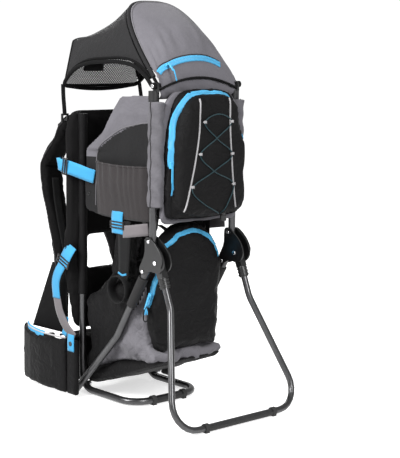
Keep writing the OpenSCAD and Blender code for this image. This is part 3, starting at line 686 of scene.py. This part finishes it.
FILLS = ((0.5, [upper]), (0.6, [lower]), (0.5, [seat]), (0.8, [lumbar]), (0.6, [back]), (0.8, straps),
         (0.7, [*wings, hips]), (0.5, [store]), (0.4, [base]), (0.3, [rear]))
for fill, pads in FILLS:
    for pad in pads:
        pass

# The bag is grey behind the lower tubes and black ahead of them.
for face in store.data.polygons:
    y, z = (face.center.y - REAR) / MM, face.center.z / MM
    tube_line = 397 - (y - 6) * 1.7 if z > 190 else 190 - (y - 128) * 0.95
    face.material_index = 1 if z > tube_line else 0


# ---------------------------------------------------------------- zips, piping and pulls on the bags


def zip_on(name, skin, points, width, aim, body, count=60, lift=0.0006, wall=0.0016):
    path, normals = cast_on(skin, eased(points, count), aim, lift)
    return piece(name, [ribbon(path, width, normals=normals)], blue_zip, body, thick=wall)


def piping_on(name, skin, lines, radius, aim, body, finish=pale_piping, count=40, lift=0.0004):
    shapes = []
    for points in lines:
        path, _ = cast_on(skin, eased(points, count), aim, lift)
        shapes.append(round_cord(path, radius))
    return piece(name, shapes, finish, body)


def pull(spot, drop, spread_mm=9, width=5.0):
    """Two loose ends of cord from a zip slider."""
    ends = []
    for k in (-0.35, 1.0):
        middle = spot + Vector((k * spread_mm * 0.4, -2, -drop * 0.5)) * MM
        tip = spot + Vector((k * spread_mm, -1, -drop)) * MM
        ends.append(ribbon(eased([spot, middle, tip], 10), width * MM, across=(1, 0.2, 0)))
    return ends


REARWARD = (0, 1, 0)
CAST_Y, CAST_CANOPY_Y = -90, -120  # planes behind the pockets and the canopy, from which lines are cast


def behind(outline):
    """Points over the upper pocket, from (x, z) in millimetres."""
    return [at(x, CAST_Y, z) for x, z in outline]


upper_skin = skin_of(upper)
zip_on("upper_pocket_zip", upper_skin,
       behind(((-112, 618), (-112.5, 650), (-112, 690), (-104, 728), (-89, 757), (-68, 779), (-45, 788),
               (0, 790), (45, 788), (66, 779), (85, 757), (98, 728), (103, 700), (105, 676))),
       0.0155, REARWARD, "rear_frame", 90)
piping_on("upper_pocket_piping", upper_skin,
          [behind(((-48, 778), (-49, 740), (-51, 700), (-61, 634), (-78, 565), (-93, 512))),
           behind(((48, 778), (51, 700), (56, 634), (64, 565), (72, 512)))], 0.0022, REARWARD, "rear_frame")
piping_on("upper_pocket_seam", upper_skin,
          [behind(((-112, 610), (-113, 560), (-112, 516), (-98, 494), (0, 491), (98, 494), (112, 516),
                   (113, 560), (112, 650)))], 0.0014, REARWARD, "rear_frame", black_band, 60)

EYELETS = ((-35, 721), (-48, 645), (-72, 568), (54, 720), (56, 642), (62, 568))
eyelets = []
for spot in cast_on(upper_skin, behind(EYELETS), REARWARD, 0.0012)[0]:
    tab = [spot + Vector((math.cos(a) * 4.5, -2.2 - math.sin(a) * 1.5, math.sin(a) * 2.5)) * MM
           for a in (0, 0.8, 1.57, 2.35, 3.14)]
    eyelets.append(ribbon(eased(tab, 10), 0.006, across=(0, 0, 1)))
piece("bungee_eyelets", eyelets, pale_piping, "rear_frame", thick=0.0012)
LACING = ((31, 500), (62, 568), (0, 603), (-48, 645), (2, 682), (54, 720), (10, 741), (-35, 721), (4, 683),
          (56, 642), (2, 606), (-72, 568), (-40, 530), (23, 500))
cord_path, _ = cast_on(upper_skin, eased(behind(LACING), 150), REARWARD, 0.0024)
piece("bungee_lacing", [round_cord(cord_path, 0.0014, 8)], elastic, "rear_frame", "bungee_cord")

machined("upper_zip_slider", slider_blue, "upper_zip_runner", edge=0.0008)
low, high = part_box("upper_zip_slider")
tip = Vector(((low.x + high.x) / 2, low.y + 0.001, low.z + 0.004))
piece("upper_zip_pulls", pull(tip, 34), blue_web, "upper_zip", thick=0.0014)

lower_skin = skin_of(lower)
lower_zip_path = [at(-104 * math.cos(math.radians(a)), -60, 332 + 118 * math.sin(math.radians(a)))
                  for a in range(4, 164, 9)]
zip_on("lower_pocket_zip", lower_skin, lower_zip_path, 0.012, REARWARD, "rear_frame", 80)
tail = route([(-150, y, z) for y, z in ((12, 345), (20, 322), (28, 300), (38, 268))], 16)
tail_path, tail_normals = cast_on(lower_skin, tail, (1, 0, 0), 0.0006)
piece("lower_pocket_zip_tail", [ribbon(tail_path, 0.014, normals=tail_normals)], blue_zip, "rear_frame",
      thick=0.0016)
machined("lower_zip_slider", slider_blue, "lower_zip_runner", edge=0.0008)
low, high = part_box("lower_zip_slider")
hang = Vector((low.x - 0.0008, (low.y + high.y) / 2, low.z + 0.012))
loop = eased([hang] + [hang + Vector(step) * MM for step in (
    (-2, -9, -14), (-3, -6, -34), (-3, 7, -36), (-2, 8, -16), (0, 1, -2))], 30)
piece("lower_zip_cord_loop", [round_cord(loop, 0.0016, 8)], black_web, "lower_zip")
piece("lower_zip_pulls", [ribbon(eased([hang, hang + Vector(end) * MM], 6), 0.005, across=(0, 1, 0))
                          for end in ((-2, -6, -20), (-2, 4, -22))], blue_web, "lower_zip", thick=0.0014)


# ---------------------------------------------------------------- sun canopy

CANOPY_Y, CANOPY_Z, HOOP, LEAN, HOOP_HALF = -8, 808, 266, math.radians(43), 124
VISOR_Y, VISOR_TOP, ROD_X = 364, 918, 138


def signed_power(value, power):
    return math.copysign(abs(value) ** power, value)


def on_hoop(angle):
    """The main hoop, from 0 at the right foot to 180 degrees at the left."""
    a = math.radians(angle)
    run = 6 + (HOOP - 6) * abs(math.sin(a)) ** 0.8
    return Vector((HOOP_HALF * signed_power(math.cos(a), 0.62), CANOPY_Y + run * math.sin(LEAN),
                   CANOPY_Z + run * math.cos(LEAN)))


def on_dome(u, angle):
    """The cloth behind the main hoop, from its lower arch up to the hoop."""
    a = math.radians(angle)
    v = signed_power(math.cos(a), 0.8)
    foot = Vector((125 * v, CANOPY_Y - 6, 799 + 27 * (1 - v * v)))
    head = on_hoop(angle) + Vector((-2 * math.cos(a), -6, 6))
    bulge = 38 * math.sin(math.pi * u ** 0.8) * (1 - 0.75 * v * v)
    pleat = 2.6 * math.sin(9 * a + 2.2 * u) * math.sin(math.pi * u) ** 1.5 * (1 - 0.6 * u) * math.sin(a)
    ripple = 1.4 * math.sin(23 * a + 5 * u) * math.exp(-((u - 0.42) / 0.16) ** 2) * math.sin(a)
    return foot.lerp(head, u) + Vector((0, -0.7, 0.7)) * (bulge + pleat + ripple)


def on_visor(angle):
    g = min(angle, 180 - angle)
    rise, over = min(1, g / 40), max(0.0, (g - 40) / 50)
    x = 96 * (1 - over ** 1.6) if over > 0 else 122 + (96 - 122) * rise
    z = VISOR_TOP - 12 * (1 - over) ** 2.5 if over > 0 else CANOPY_Z - 4 + (VISOR_TOP - 8 - CANOPY_Z) * rise
    return Vector((x if angle < 90 else -x, VISOR_Y - 4, z))


def arch_rise(u):
    return 1 - abs(2 * u - 1) ** 3.5


def on_roof(u, angle):
    """The roof between the hoops: u runs forward, the angle from side to side."""
    a = math.radians(angle)
    rear_edge = on_hoop(angle) + Vector((3 * math.cos(a), 8, 2 * math.sin(a)))
    low_side = abs(math.cos(a)) ** 6
    lift = 52 * arch_rise(u) * low_side - 14 * math.sin(math.pi * u) * math.sin(a)
    fold = 1.6 * math.sin(5 * a + 7 * u) * math.sin(math.pi * u) * math.sin(a)
    return rear_edge.lerp(on_visor(angle), u) + Vector((0, 0, lift + fold))


def on_arch(u):
    return Vector((ROD_X - 12 * u, CANOPY_Y + 8 + (VISOR_Y - CANOPY_Y - 8) * u,
                   CANOPY_Z - 12 * u + 58 * arch_rise(u)))


def real(p):
    return at(*p)


def mirrored_x(p):
    return Vector((-p.x, p.y, p.z))


def dome_cloth(u, v):
    return real(on_dome(v, 176 - 172 * u))


def roof_sheet(u, v):
    return real(on_roof(v, 178 - 176 * u))


dome = piece("canopy_rear_cloth", [surface((72, 30), dome_cloth, (0.34, 0.27))], shell_grey, "canopy",
             "canopy_rear_panel", thick=0.0014, rounds=1)
piece("canopy_hoop_rod", [copied("canopy_main_hoop")], black_band, "canopy", "canopy_main_hoop", edge=0)
over_hoop = eased([real(on_hoop(a) + Vector((0, 0, 3))) for a in range(2, 179, 4)], 110)
piece("canopy_hoop_binding", [round_cord(over_hoop, 0.0052, 10)], roof_cloth, "canopy")
dome_head = eased([real(on_dome(0.985, a) + Vector((0, -1, 1))) for a in range(4, 177, 6)], 80)
piece("canopy_hoop_piping", [round_cord(dome_head, 0.0014)], grey_piping, "canopy")
dome_foot = eased([real(on_dome(0.0, a) + Vector((0, -1, 0))) for a in range(4, 177, 6)], 60)
piece("canopy_rear_binding", [round_cord(dome_foot, 0.0042, 10, flat=0.7)], black_band, "canopy")
dome_skin = skin_of(dome)


ZIP_LINE = ((-117, 837), (-105, 846), (-91.5, 853), (-60, 864), (-20, 871), (20, 871), (52, 865), (80, 855))
ZIP_FLAP = 9  # from the zip up to the seam of the flap over it


def dome_line(rise, lift):
    """The zip's line on the dome, moved up by rise millimetres."""
    path = route([(x, CAST_CANOPY_Y, z + rise) for x, z in ZIP_LINE], 60)
    return cast_on(dome_skin, path, REARWARD, lift)


spots, normals = dome_line(0, 0.0018)
piece("canopy_zip", [ribbon(spots, 0.0145, normals=normals)], blue_zip, "canopy", thick=0.0018)
spots, _ = dome_line(ZIP_FLAP, 0.0016)
piece("canopy_zip_flap_seam", [round_cord(spots, 0.0012)], dark_piping, "canopy")
machined("canopy_zip_slider", slider_blue, "canopy_zip_runner", edge=0.0008)


def flap(u, v):
    """The top of the rear panel, carried up under the canopy's rear edge."""
    top = on_dome(0.0, 172 - 164 * u) + Vector((0, 4, -1))
    foot = Vector((-112 + 224 * u, 4, 776))
    sag = 6 * math.sin(math.pi * v) + 1.2 * math.sin(31 * u + 3 * v)
    return real(foot.lerp(top, v) + Vector((0, -sag, 0)))


piece("rear_panel_top_flap", [surface((60, 12), flap, (0.24, 0.05))], shell_grey, "rear_frame", thick=0.0014)
low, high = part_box("canopy_zip_slider")
spot = Vector(((low.x + high.x) / 2, low.y, low.z + 0.004))
cord = eased([spot, spot + Vector((1, -4, -12)) * MM, spot + Vector((4, -6, -26)) * MM], 12)
piece("canopy_zip_cord", [round_cord(cord, 0.0016, 8)], blue_web, "canopy_zip")

roof = piece("canopy_roof_cloth", [surface((56, 36), roof_sheet, (0.36, 0.36))], roof_cloth, None,
             "canopy_roof", thick=0.0014, rounds=1)
edges = [round_cord(eased([real(on_roof(u / 20, angle)) for u in range(21)], 60), 0.0045, 10, flat=0.8)
         for angle in (2, 178)]
roof_edge = piece("canopy_roof_binding", edges, black_band, None)
crown = [round_cord(eased([real(on_roof(1.0, a)) for a in range(4, 177, 4)], 80), 0.003)]
piece("visor_top_binding", crown, black_band, "visor")
for part in (roof, roof_edge):
    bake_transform(part)

side_run = [on_arch(u) for u in (0, 0.04, 0.1, 0.2, 0.35, 0.5, 0.65, 0.8, 0.9, 0.97)]
hem = [Vector((x, VISOR_Y + 6 - 6 * (x / 118) ** 2, CANOPY_Z - 23 + 11 * (x / 118) ** 2))
       for x in (118, 94, 71, 47, 24, 0, -24, -47, -71, -94, -118)]
rod_path = eased([real(p) for p in side_run + hem + [mirrored_x(p) for p in reversed(side_run)]], 180)
piece("visor_rod_casing", [round_cord(rod_path, 0.0050, 12), copied("canopy_front_hoop")], black_band,
      "visor", "canopy_front_hoop")


def on_net(u, v):
    """The visor's front net, from its hem up to the roof's front edge."""
    bow = (2 * u - 1) ** 2
    low_edge = Vector((121 - 242 * u, VISOR_Y + 4 - 5 * bow, CANOPY_Z - 21 + 10 * bow))
    top = on_visor(10 + 160 * u) + Vector((0, 2, -1))
    return low_edge.lerp(top, v) + Vector((0, 5 * math.sin(math.pi * v) * math.sin(math.pi * u), 0))


def on_patch(u, v):
    """A small blank patch sewn on the net."""
    return at(-58 + 64 * u, 365.5 - 1.5 * math.sin(math.pi * v), 832 + 23 * v)


front_net = piece("visor_net", [surface((36, 16), lambda u, v: real(on_net(u, v)), (0.236, 0.12))], net,
                  "visor", "canopy_front_mesh")
piece("visor_patch", [surface((8, 4), on_patch, (0.064, 0.023))], shell_black, "visor", thick=0.0012)
straps_down = []
for _, s in SIDES:
    path = route([(127, 362, 799), (129, 358, 770), (130, 353, 740), (130, 351, 722)], 16, s)
    straps_down.append(ribbon(path, 0.012))
piece("visor_straps", straps_down, black_web, "visor", "canopy_straps", thick=0.0015)


# ---------------------------------------------------------------- sides of the seat

def wing_top(y):
    """Height of the padded wing's upper edge."""
    return 784 if y < 120 else 784 - (y - 120) * 0.12 if y < 135 else 782 - (y - 135) * 1.02


WING_FAR = 160  # a plane beyond each wing, from which lines are cast on to it
LEAF = ((20, 719), (50, 716), (81, 710), (130, 698), (169, 678), (201, 659), (222, 640), (230, 622),
        (231, 560), (233, 500))  # the lining's edge on the wing, y and z
side_pieces = []
for side, s in SIDES:
    wing = stuffed("side_panel_" + side, [pad_grey, leaf_cloth], "seat_wing_" + side, voxel=0.004, blur=2,
                   shape_edit=lambda p: creased(p, 2.2, 0.05, (1, 1, 1), 1.7))
    swelling.pop()
    for v in wing.data.vertices:
        y, z = (v.co.y - REAR) / MM, v.co.z / MM
        roll = max(0.0, 1 - abs(z - wing_top(y) + 45) / 55) if z > 640 else 0.0
        v.co.x += s * 0.007 * roll * (1 if abs(v.co.x) > 0.118 else -0.4)
    for face in wing.data.polygons:
        y, z = (face.center.y - REAR) / MM, face.center.z / MM
        leaf_top = 718 - 0.0017 * max(0.0, y - 24) ** 2 - 0.06 * (y - 24)
        face.material_index = 1 if (z < leaf_top and y < 232) or z < 622 else 0
    wing.data.shade_smooth()
    side_pieces.append(wing)
    skin = skin_of(wing)
    path, _ = cast_on(skin, route([(WING_FAR, y, z) for y, z in LEAF], 70, s), (-s, 0, 0), 0.0006)
    side_pieces.append(piece("leaf_piping_" + side, [round_cord(path, 0.0015)], grey_piping, None))
    eye, _ = cast_on(skin, [at(s * WING_FAR, 262, 527)], (-s, 0, 0), 0.0008)
    ring = eased([eye[0] + Vector((0, math.cos(a) * 3.5, math.sin(a) * 3.5)) * MM for a in turns(6, 13)], 24)
    side_pieces.append(piece("panel_eyelet_" + side, [round_cord(ring, 0.0011)], nylon, None))

    def pouch(u, v, s=s):
        """Outer wall of the gathered side pocket."""
        y = 19 + 202 * (u if s > 0 else 1 - u)
        ends = max(0.0, math.sin(math.pi * u)) ** 0.28
        stand = (9 + 13 * min(1, v * 1.5)) * ends
        gather = math.sin(54 * u + 2.2 * math.sin(9 * u)) * (0.3 + 2.0 * v ** 2) * ends
        sag = 6 * math.sin(7 * u + 4 * v) * (1 - v) * 0.35
        out = 121.3 + stand + gather * 0.8 + sag * ends * 0.4
        return at(s * out, y, 482 + 130 * v - 3 * math.sin(math.pi * u))

    side_pieces.append(piece("side_pouch_" + side, [surface((110, 26), pouch, (0.24, 0.13))], pouch_cloth,
                             None, "side_pocket_" + side, thick=0.0018))
    hem_path = eased([pouch(u / 60, 1.0) for u in range(61)], 110)
    side_pieces.append(piece("side_pouch_hem_" + side, [round_cord(hem_path, 0.0026, 8)], pouch_cloth, None))
    floor_path = eased([pouch(u / 60, 0.0) for u in range(61)], 60)
    side_pieces.append(piece("side_pouch_foot_" + side, [round_cord(floor_path, 0.0022, 8)], dark_piping,
                             None))

    def sleeve(u, v, s=s):
        """The padded cloth round a rear upright."""
        a = 2 * math.pi * u
        reach = 15.5 + 1.0 * math.sin(3 * a + 17 * v) + 0.9 * math.sin(41 * v + 2 * a)
        back_reach = reach * (1.5 if math.sin(a) < 0 else 1.45)
        return at(s * 131 + reach * math.cos(a), -8 + back_reach * math.sin(a), 519 + 252 * v)

    # the padding's cloth is the shell grey with painted shade
    tube = piece("upright_padding_" + side, [surface((28, 70), sleeve, (0.11, 0.25), loop=True)], sleeve_grey_painted_shade,
                 "rear_frame", rounds=1)
    if side == "left":
        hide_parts("upright_sleeves")
    outer = 0.5 if s < 0 else 0.0
    seam = eased([sleeve(outer, v / 40) + Vector((s * 0.6, 0, 0)) * MM for v in range(41)], 60)
    piece("upright_padding_seam_" + side, [round_cord(seam, 0.0012)], dark_piping, "rear_frame")


# ---------------------------------------------------------------- webbing, buckles and stirrups


def ladder_lock(centre, across, along_way, width, depth=4.0, rise=15.0):
    """A moulded ladder lock: a frame with a middle bar, lying in the plane of across and along_way."""
    a, b = Vector(across).normalized(), Vector(along_way).normalized()
    n = a.cross(b).normalized()
    bars = [([(x, k / 2) for x in (-0.5, -0.25, 0, 0.25, 0.5)], 0.5) for k in (-1, 0, 1)]
    bars += [([(x, k) for k in (-0.62, -0.3, 0, 0.3, 0.62)], 0.55) for x in (-0.5, 0.5)]
    shapes = []
    for spots, share in bars:
        path = [centre + (a * x * width + b * k * rise) * MM + n * 0.6 * MM for x, k in spots]
        shapes.append(round_cord(path, depth * share * MM, 8, lean=n))
    return shapes


blue_side, locks = [], []
for _, s in SIDES:
    path = route([(127, 232, 572), (132, 252, 576), (141, 282, 584), (152, 312, 592), (154.5, 332, 595)],
                 30, s)
    fold = route([(156.5, 326, 595), (157.5, 338, 597), (155, 347, 598), (150, 343, 598)], 12, s)
    blue_side += [ribbon(path, 0.034, across=(0, 0.2, 1)), ribbon(fold, 0.030, across=(0, 0.2, 1))]
    locks += ladder_lock(at(s * 154.5, 318, 593), (0, -0.1, 1), (0, 1, 0.1), 40)
side_blue = piece("side_strap_blue", blue_side, blue_web, "rear_frame", "side_straps", thick=0.0018)
side_lock = piece("side_strap_locks", locks, nylon, "rear_frame")

def pad_half(v):
    """Half the width of a child's shoulder pad, rounded off at its ends."""
    return (5 + 11 * math.sin(math.pi * min(max(v, 0.06), 0.94)) ** 0.3) * MM


harness, pads = [], []
for _, s in SIDES:
    shoulder = route([(45, 39, 700), (45, 60, 690), (42, 110, 600), (30, 138, 500), (20, 146, 462)], 40, s)
    waist = route([(100, 84, 376), (70, 104, 392), (38, 142, 432), (20, 150, 446)], 26, s)
    harness += [ribbon(shoulder, 0.024), ribbon(waist, 0.022, across=(0, 1, 0))]
    padded = route([(45, 62, 689), (43, 105, 610), (37, 128, 545)], 20, s)
    pads.append(round_cord(padded, pad_half, 16, flat=0.4, lean=(0, 1, 0.6)))
harness.append(ribbon(route([(0, 178, 362.6), (0, 177, 388), (0, 164, 414), (0, 154, 428)], 16), 0.026))
child_webbing = piece("child_harness_webbing", harness, black_web, "rear_frame", "child_harness", thick=0.002)
harness_pads = piece("child_harness_pads", pads, pad_black, "rear_frame")
buckle_bits = []
for _, s in SIDES:
    buckle_bits += ladder_lock(at(s * 33, 139.5, 512), (1, 0, 0), (0, -0.25, 1), 28)
harness_locks = piece("child_harness_locks", buckle_bits, nylon, "rear_frame")

for side, s in SIDES:
    body = "stirrup_" + side
    wide = route([(131.5, 108, 474), (132, 107, 440), (132.5, 106, 395), (132, 108, 350), (131.5, 112, 330)],
                 30, s)
    foot_loop = route([(131.5, 122 + 34 * math.sin(a), 302 + 34 * math.cos(a)) for a in turns(10, 21)], 60, s)
    piece("stirrup_strap_" + side, [ribbon(wide, lambda v: (50 - 14 * v) * MM, across=(0, 1, 0)),
                                    ribbon(foot_loop, 0.026)], black_web, body, body, thick=0.0022)
    tab = route([(133.6, 131, 440), (135, 131, 462), (135.5, 131, 478), (134, 131, 492), (131, 131, 497)],
                16, s)
    piece("stirrup_tab_" + side, [ribbon(tab, 0.042, across=(0, 1, 0))], blue_web, "rear_frame", thick=0.0018)
    piece("stirrup_lock_" + side, ladder_lock(at(s * 136.5, 131, 462), (0, 1, 0), (0, 0, 1), 48), nylon,
          "rear_frame")
    grey = route([(132.6, 112, 447), (133, 80, 452), (131, 46, 458), (126, 22, 462)], 20, s)
    piece("stirrup_anchor_" + side, [ribbon(grey, 0.030, across=(0, 0, 1))], grey_web, "rear_frame",
          thick=0.0018)
    tag = route([(133.8, 96, 343), (133.8, 112, 339), (133.8, 128, 344)], 8, s)
    piece("stirrup_tag_" + side, [ribbon(tag, 0.005, across=(0, 0, 1))], blue_web, body, thick=0.001)


# ---------------------------------------------------------------- wearer's harness

PIPING_X = 36  # from a shoulder strap's middle to its piping
for (side, s), strap in zip(SIDES, straps):
    skin = skin_of(strap)
    centre = [(75, 348, 712), (75, 372, 708), (75, 405, 688), (75, 430, 652), (76, 462, 614), (78, 480, 584),
              (79, 479, 545), (82, 464, 490), (86, 438, 425), (92, 408, 359), (98, 390, 300), (102, 386, 262)]
    lines = []
    for edge_x in (-PIPING_X, PIPING_X):
        run = route([(x + edge_x, y, z) for x, y, z in centre], 90, s)
        path, _ = laid_on(skin, run, 0.0008)
        lines.append(round_cord(path, 0.0019))
    piece("shoulder_strap_piping_" + side, lines, dark_piping, "front_frame")
    run, normals = laid_on(skin, route([(78, 470, 545), (84, 452, 480), (90, 425, 415), (96, 395, 350),
                                        (101, 378, 290)], 50, s), 0.0016)
    piece("shoulder_strap_daisy_" + side, [ribbon(run, 0.022, normals=normals)], black_web, "front_frame",
          thick=0.0016)

def cover_half(v):
    """Half the width of the cloth cover on a front upright, which is a little slack."""
    return (11.6 + 0.9 * math.sin(37 * v) * math.sin(11 * v)) * MM


covers, grey_runs, blue_runs, strap_locks, lifters = [], [], [], [], []
for _, s in SIDES:
    covers.append(round_cord(route([(111, 300, z) for z in (262, 400, 560, 727)], 60, s), cover_half, 20,
                             lean=(0, 1, 0)))
    blue_runs.append(ribbon(route([(140, 308, 388), (150, 316, 366), (155, 328, 338)], 16, s), 0.042,
                            across=(0.1, 1, 0.3)))
    blue_runs.append(ribbon(route([(156, 329, 338), (158, 346, 312), (157, 356, 285), (154, 356, 246)],
                                  24, s), 0.030, across=(0, 1, 0)))
    strap_locks += ladder_lock(at(s * 156, 325, 347), (0, 1, 0.4), (0, 0.4, -1), 46, rise=17)
    grey_runs.append(ribbon(route([(153, 356, 250), (152, 345, 212), (151, 322, 180), (149, 298, 160),
                                   (148, 288, 152)], 30, s), 0.030, across=(0, 1, 0.2)))
    lifters.append(ribbon(route([(84, 338, 728), (82, 372, 716), (80, 418, 690)], 20, s), 0.02))
piece("upright_covers", covers, shell_black, "front_frame")
piece("shoulder_adjuster_blue", blue_runs, blue_web, "front_frame", thick=0.0018)
piece("shoulder_adjuster_locks", strap_locks, nylon, "front_frame")
piece("shoulder_strap_webbing", grey_runs, grey_web, "front_frame", "shoulder_webbing", thick=0.0018)

gussets = []
for _, s in SIDES:
    def gusset(u, v, s=s):
        """The thin mesh web that joins the shoulder strap's foot to the belt."""
        front_edge = Vector((118 + 20 * v, 420 + 62 * v, 330 - 178 * v))
        rear_edge = Vector((128 + 8 * v, 338 - 4 * v, 330 - 176 * v))
        p = rear_edge.lerp(front_edge, u if s > 0 else 1 - u)
        return at(s * (p.x + 3 * math.sin(math.pi * u) * math.sin(math.pi * v)), p.y, p.z)

    gussets.append(surface((14, 26), gusset, (0.12, 0.18)))
piece("strap_gussets", gussets, air_mesh, "front_frame", thick=0.004)

piece("load_lifter_webbing", lifters, black_web, "front_frame", thick=0.0016)

CREST = ((163, 306), (168, 340), (170, 390), (164, 440), (148, 488), (124, 524))  # x and y of the belt's top
TRIM = ((172, 388), (169, 420), (159, 462), (148, 490), (128, 522))
for side, s in SIDES:
    body = "belt_" + side
    top = route([(x, y, 150.5) for x, y in CREST], 60, s)
    piece("belt_top_piping_" + side, [round_cord(top, 0.0024)], pale_piping, body)
    front = route([(x, y, 148) for x, y in TRIM], 50, s)
    piece("belt_blue_trim_" + side, [ribbon(front, 0.017, across=(-s * 0.4, 0.3, 1))], blue_web, body,
          thick=0.002)
    ring = route([(133 + 5 * math.sin(a), 520 + 9 * math.sin(a), 79 + 13 * math.cos(a))
                  for a in turns(8, 17)], 40, s)
    piece("belt_d_ring_" + side, [round_cord(ring, 0.0019, 8)], zinc, body)

hip_blue, hip_studs = [], []
for _, s in SIDES:
    hip_blue.append(ribbon(route([(170.2, 273, 166), (171, 273, 150), (170.8, 273, 122)], 10, s), 0.026,
                           across=(0, 1, 0)))
    hip_studs.append(round_cord([at(s * x, 273, 142) for x in (170.5, 173.5)], 0.006, 16, lean=(0, 0, 1)))
    hip_blue.append(ribbon(route([(150, 330, 151), (146, 326, 175), (144, 322, 200)], 8, s),
                           lambda v: (22 - 14 * v) * MM, across=(0, 1, 0)))
piece("belt_blue_tabs", hip_blue, blue_web, "front_frame", thick=0.0018)
piece("belt_studs", hip_studs, nylon, "front_frame", edge=0.001)

machined("belt_buckle_socket", nylon, "belt_buckle_female", edge=0.0012)
machined("belt_buckle_plug", nylon, "belt_buckle_male", edge=0.0012)

# How much of its depth each soft piece keeps when the frames close on it. The loop below doesn't read these
# shares: it hangs each piece on the rear frame if it has no body yet, and gives it a mesh of its own.
KEPT = ((0.8, [seat, store, base, child_webbing, harness_pads, harness_locks]),
        (0.64, [side_blue, side_lock]), (0.52, side_pieces))
for kept, parts in KEPT:
    for part in parts:
        if "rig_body" not in part:
            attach(part, "rear_frame")
        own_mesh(part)


# ---------------------------------------------------------------- floor, light and camera


def area_light(name, place, aim, size, power):
    lamp = bpy.data.lights.new(name, "AREA")
    lamp.shape, lamp.size, lamp.energy = "DISK", size, power
    obj = bpy.data.objects.new(name, lamp)
    obj.location = place
    obj.rotation_euler = (Vector(aim) - Vector(place)).to_track_quat("-Z", "Y").to_euler()
    bpy.context.scene.collection.objects.link(obj)


def staged(name, shape, finish_name, colour, glow, rough=0.5):
    """A part of the set round the object, which gives off some light of its own."""
    mesh = bpy.data.meshes.new(name)
    shape.to_mesh(mesh)
    shape.free()
    obj = bpy.data.objects.new(name, mesh)
    bpy.context.scene.collection.objects.link(obj)
    finish, _, shader = blank(finish_name)
    shader.inputs["Base Color"].default_value = (colour, colour, colour, 1)
    shader.inputs["Emission Color"].default_value = (1, 1, 1, 1)
    shader.inputs["Emission Strength"].default_value = glow
    shader.inputs["Roughness"].default_value = rough
    mesh.materials.append(finish)
    obj.visible_diffuse = False
    return obj


disc, shell = bmesh.new(), bmesh.new()
bmesh.ops.create_circle(disc, cap_ends=True, radius=14.0, segments=96)
staged("floor", disc, "pale_floor", 0.8, 0.62, 0.55)
bmesh.ops.create_uvsphere(shell, u_segments=48, v_segments=24, radius=13.5)
screen = staged("backdrop", shell, "white_backdrop", 0.0, 1.0)
screen.visible_glossy = screen.visible_shadow = False

world = bpy.data.worlds.new("studio")
bpy.context.scene.world = world
world.use_nodes = True
world.node_tree.nodes["Background"].inputs[0].default_value = (1, 1, 1, 1)
world.node_tree.nodes["Background"].inputs[1].default_value = 0.5
area_light("key", (-3.2, 0.2, 2.5), (0, 0, 0.5), 1.6, 190)
area_light("fill", (-0.6, -3.4, 2.2), (0, 0, 0.5), 1.4, 95)
area_light("rim", (1.2, 2.6, 2.4), (0, 0, 0.6), 1.2, 40)
bpy.context.scene.view_settings.view_transform = "Standard"

lens = bpy.data.cameras.new("camera")
lens.sensor_fit, lens.sensor_height = "VERTICAL", 36.0
lens.lens = 105.9
lens.shift_x = 0.0147
lens.clip_end = 60
camera = bpy.data.objects.new("camera", lens)
camera.location = (-2.207, -2.427 + REAR, 0.931)
AZIMUTH, PITCH, ROLL = math.radians(-42.28), math.radians(-8.256), math.radians(-0.67)
forward = Vector((-math.sin(AZIMUTH) * math.cos(PITCH), math.cos(AZIMUTH) * math.cos(PITCH), math.sin(PITCH)))
camera.rotation_mode = "QUATERNION"
camera.rotation_quaternion = Quaternion(forward, ROLL) @ forward.to_track_quat("-Z", "Y")
bpy.context.scene.collection.objects.link(camera)
bpy.context.scene.camera = camera
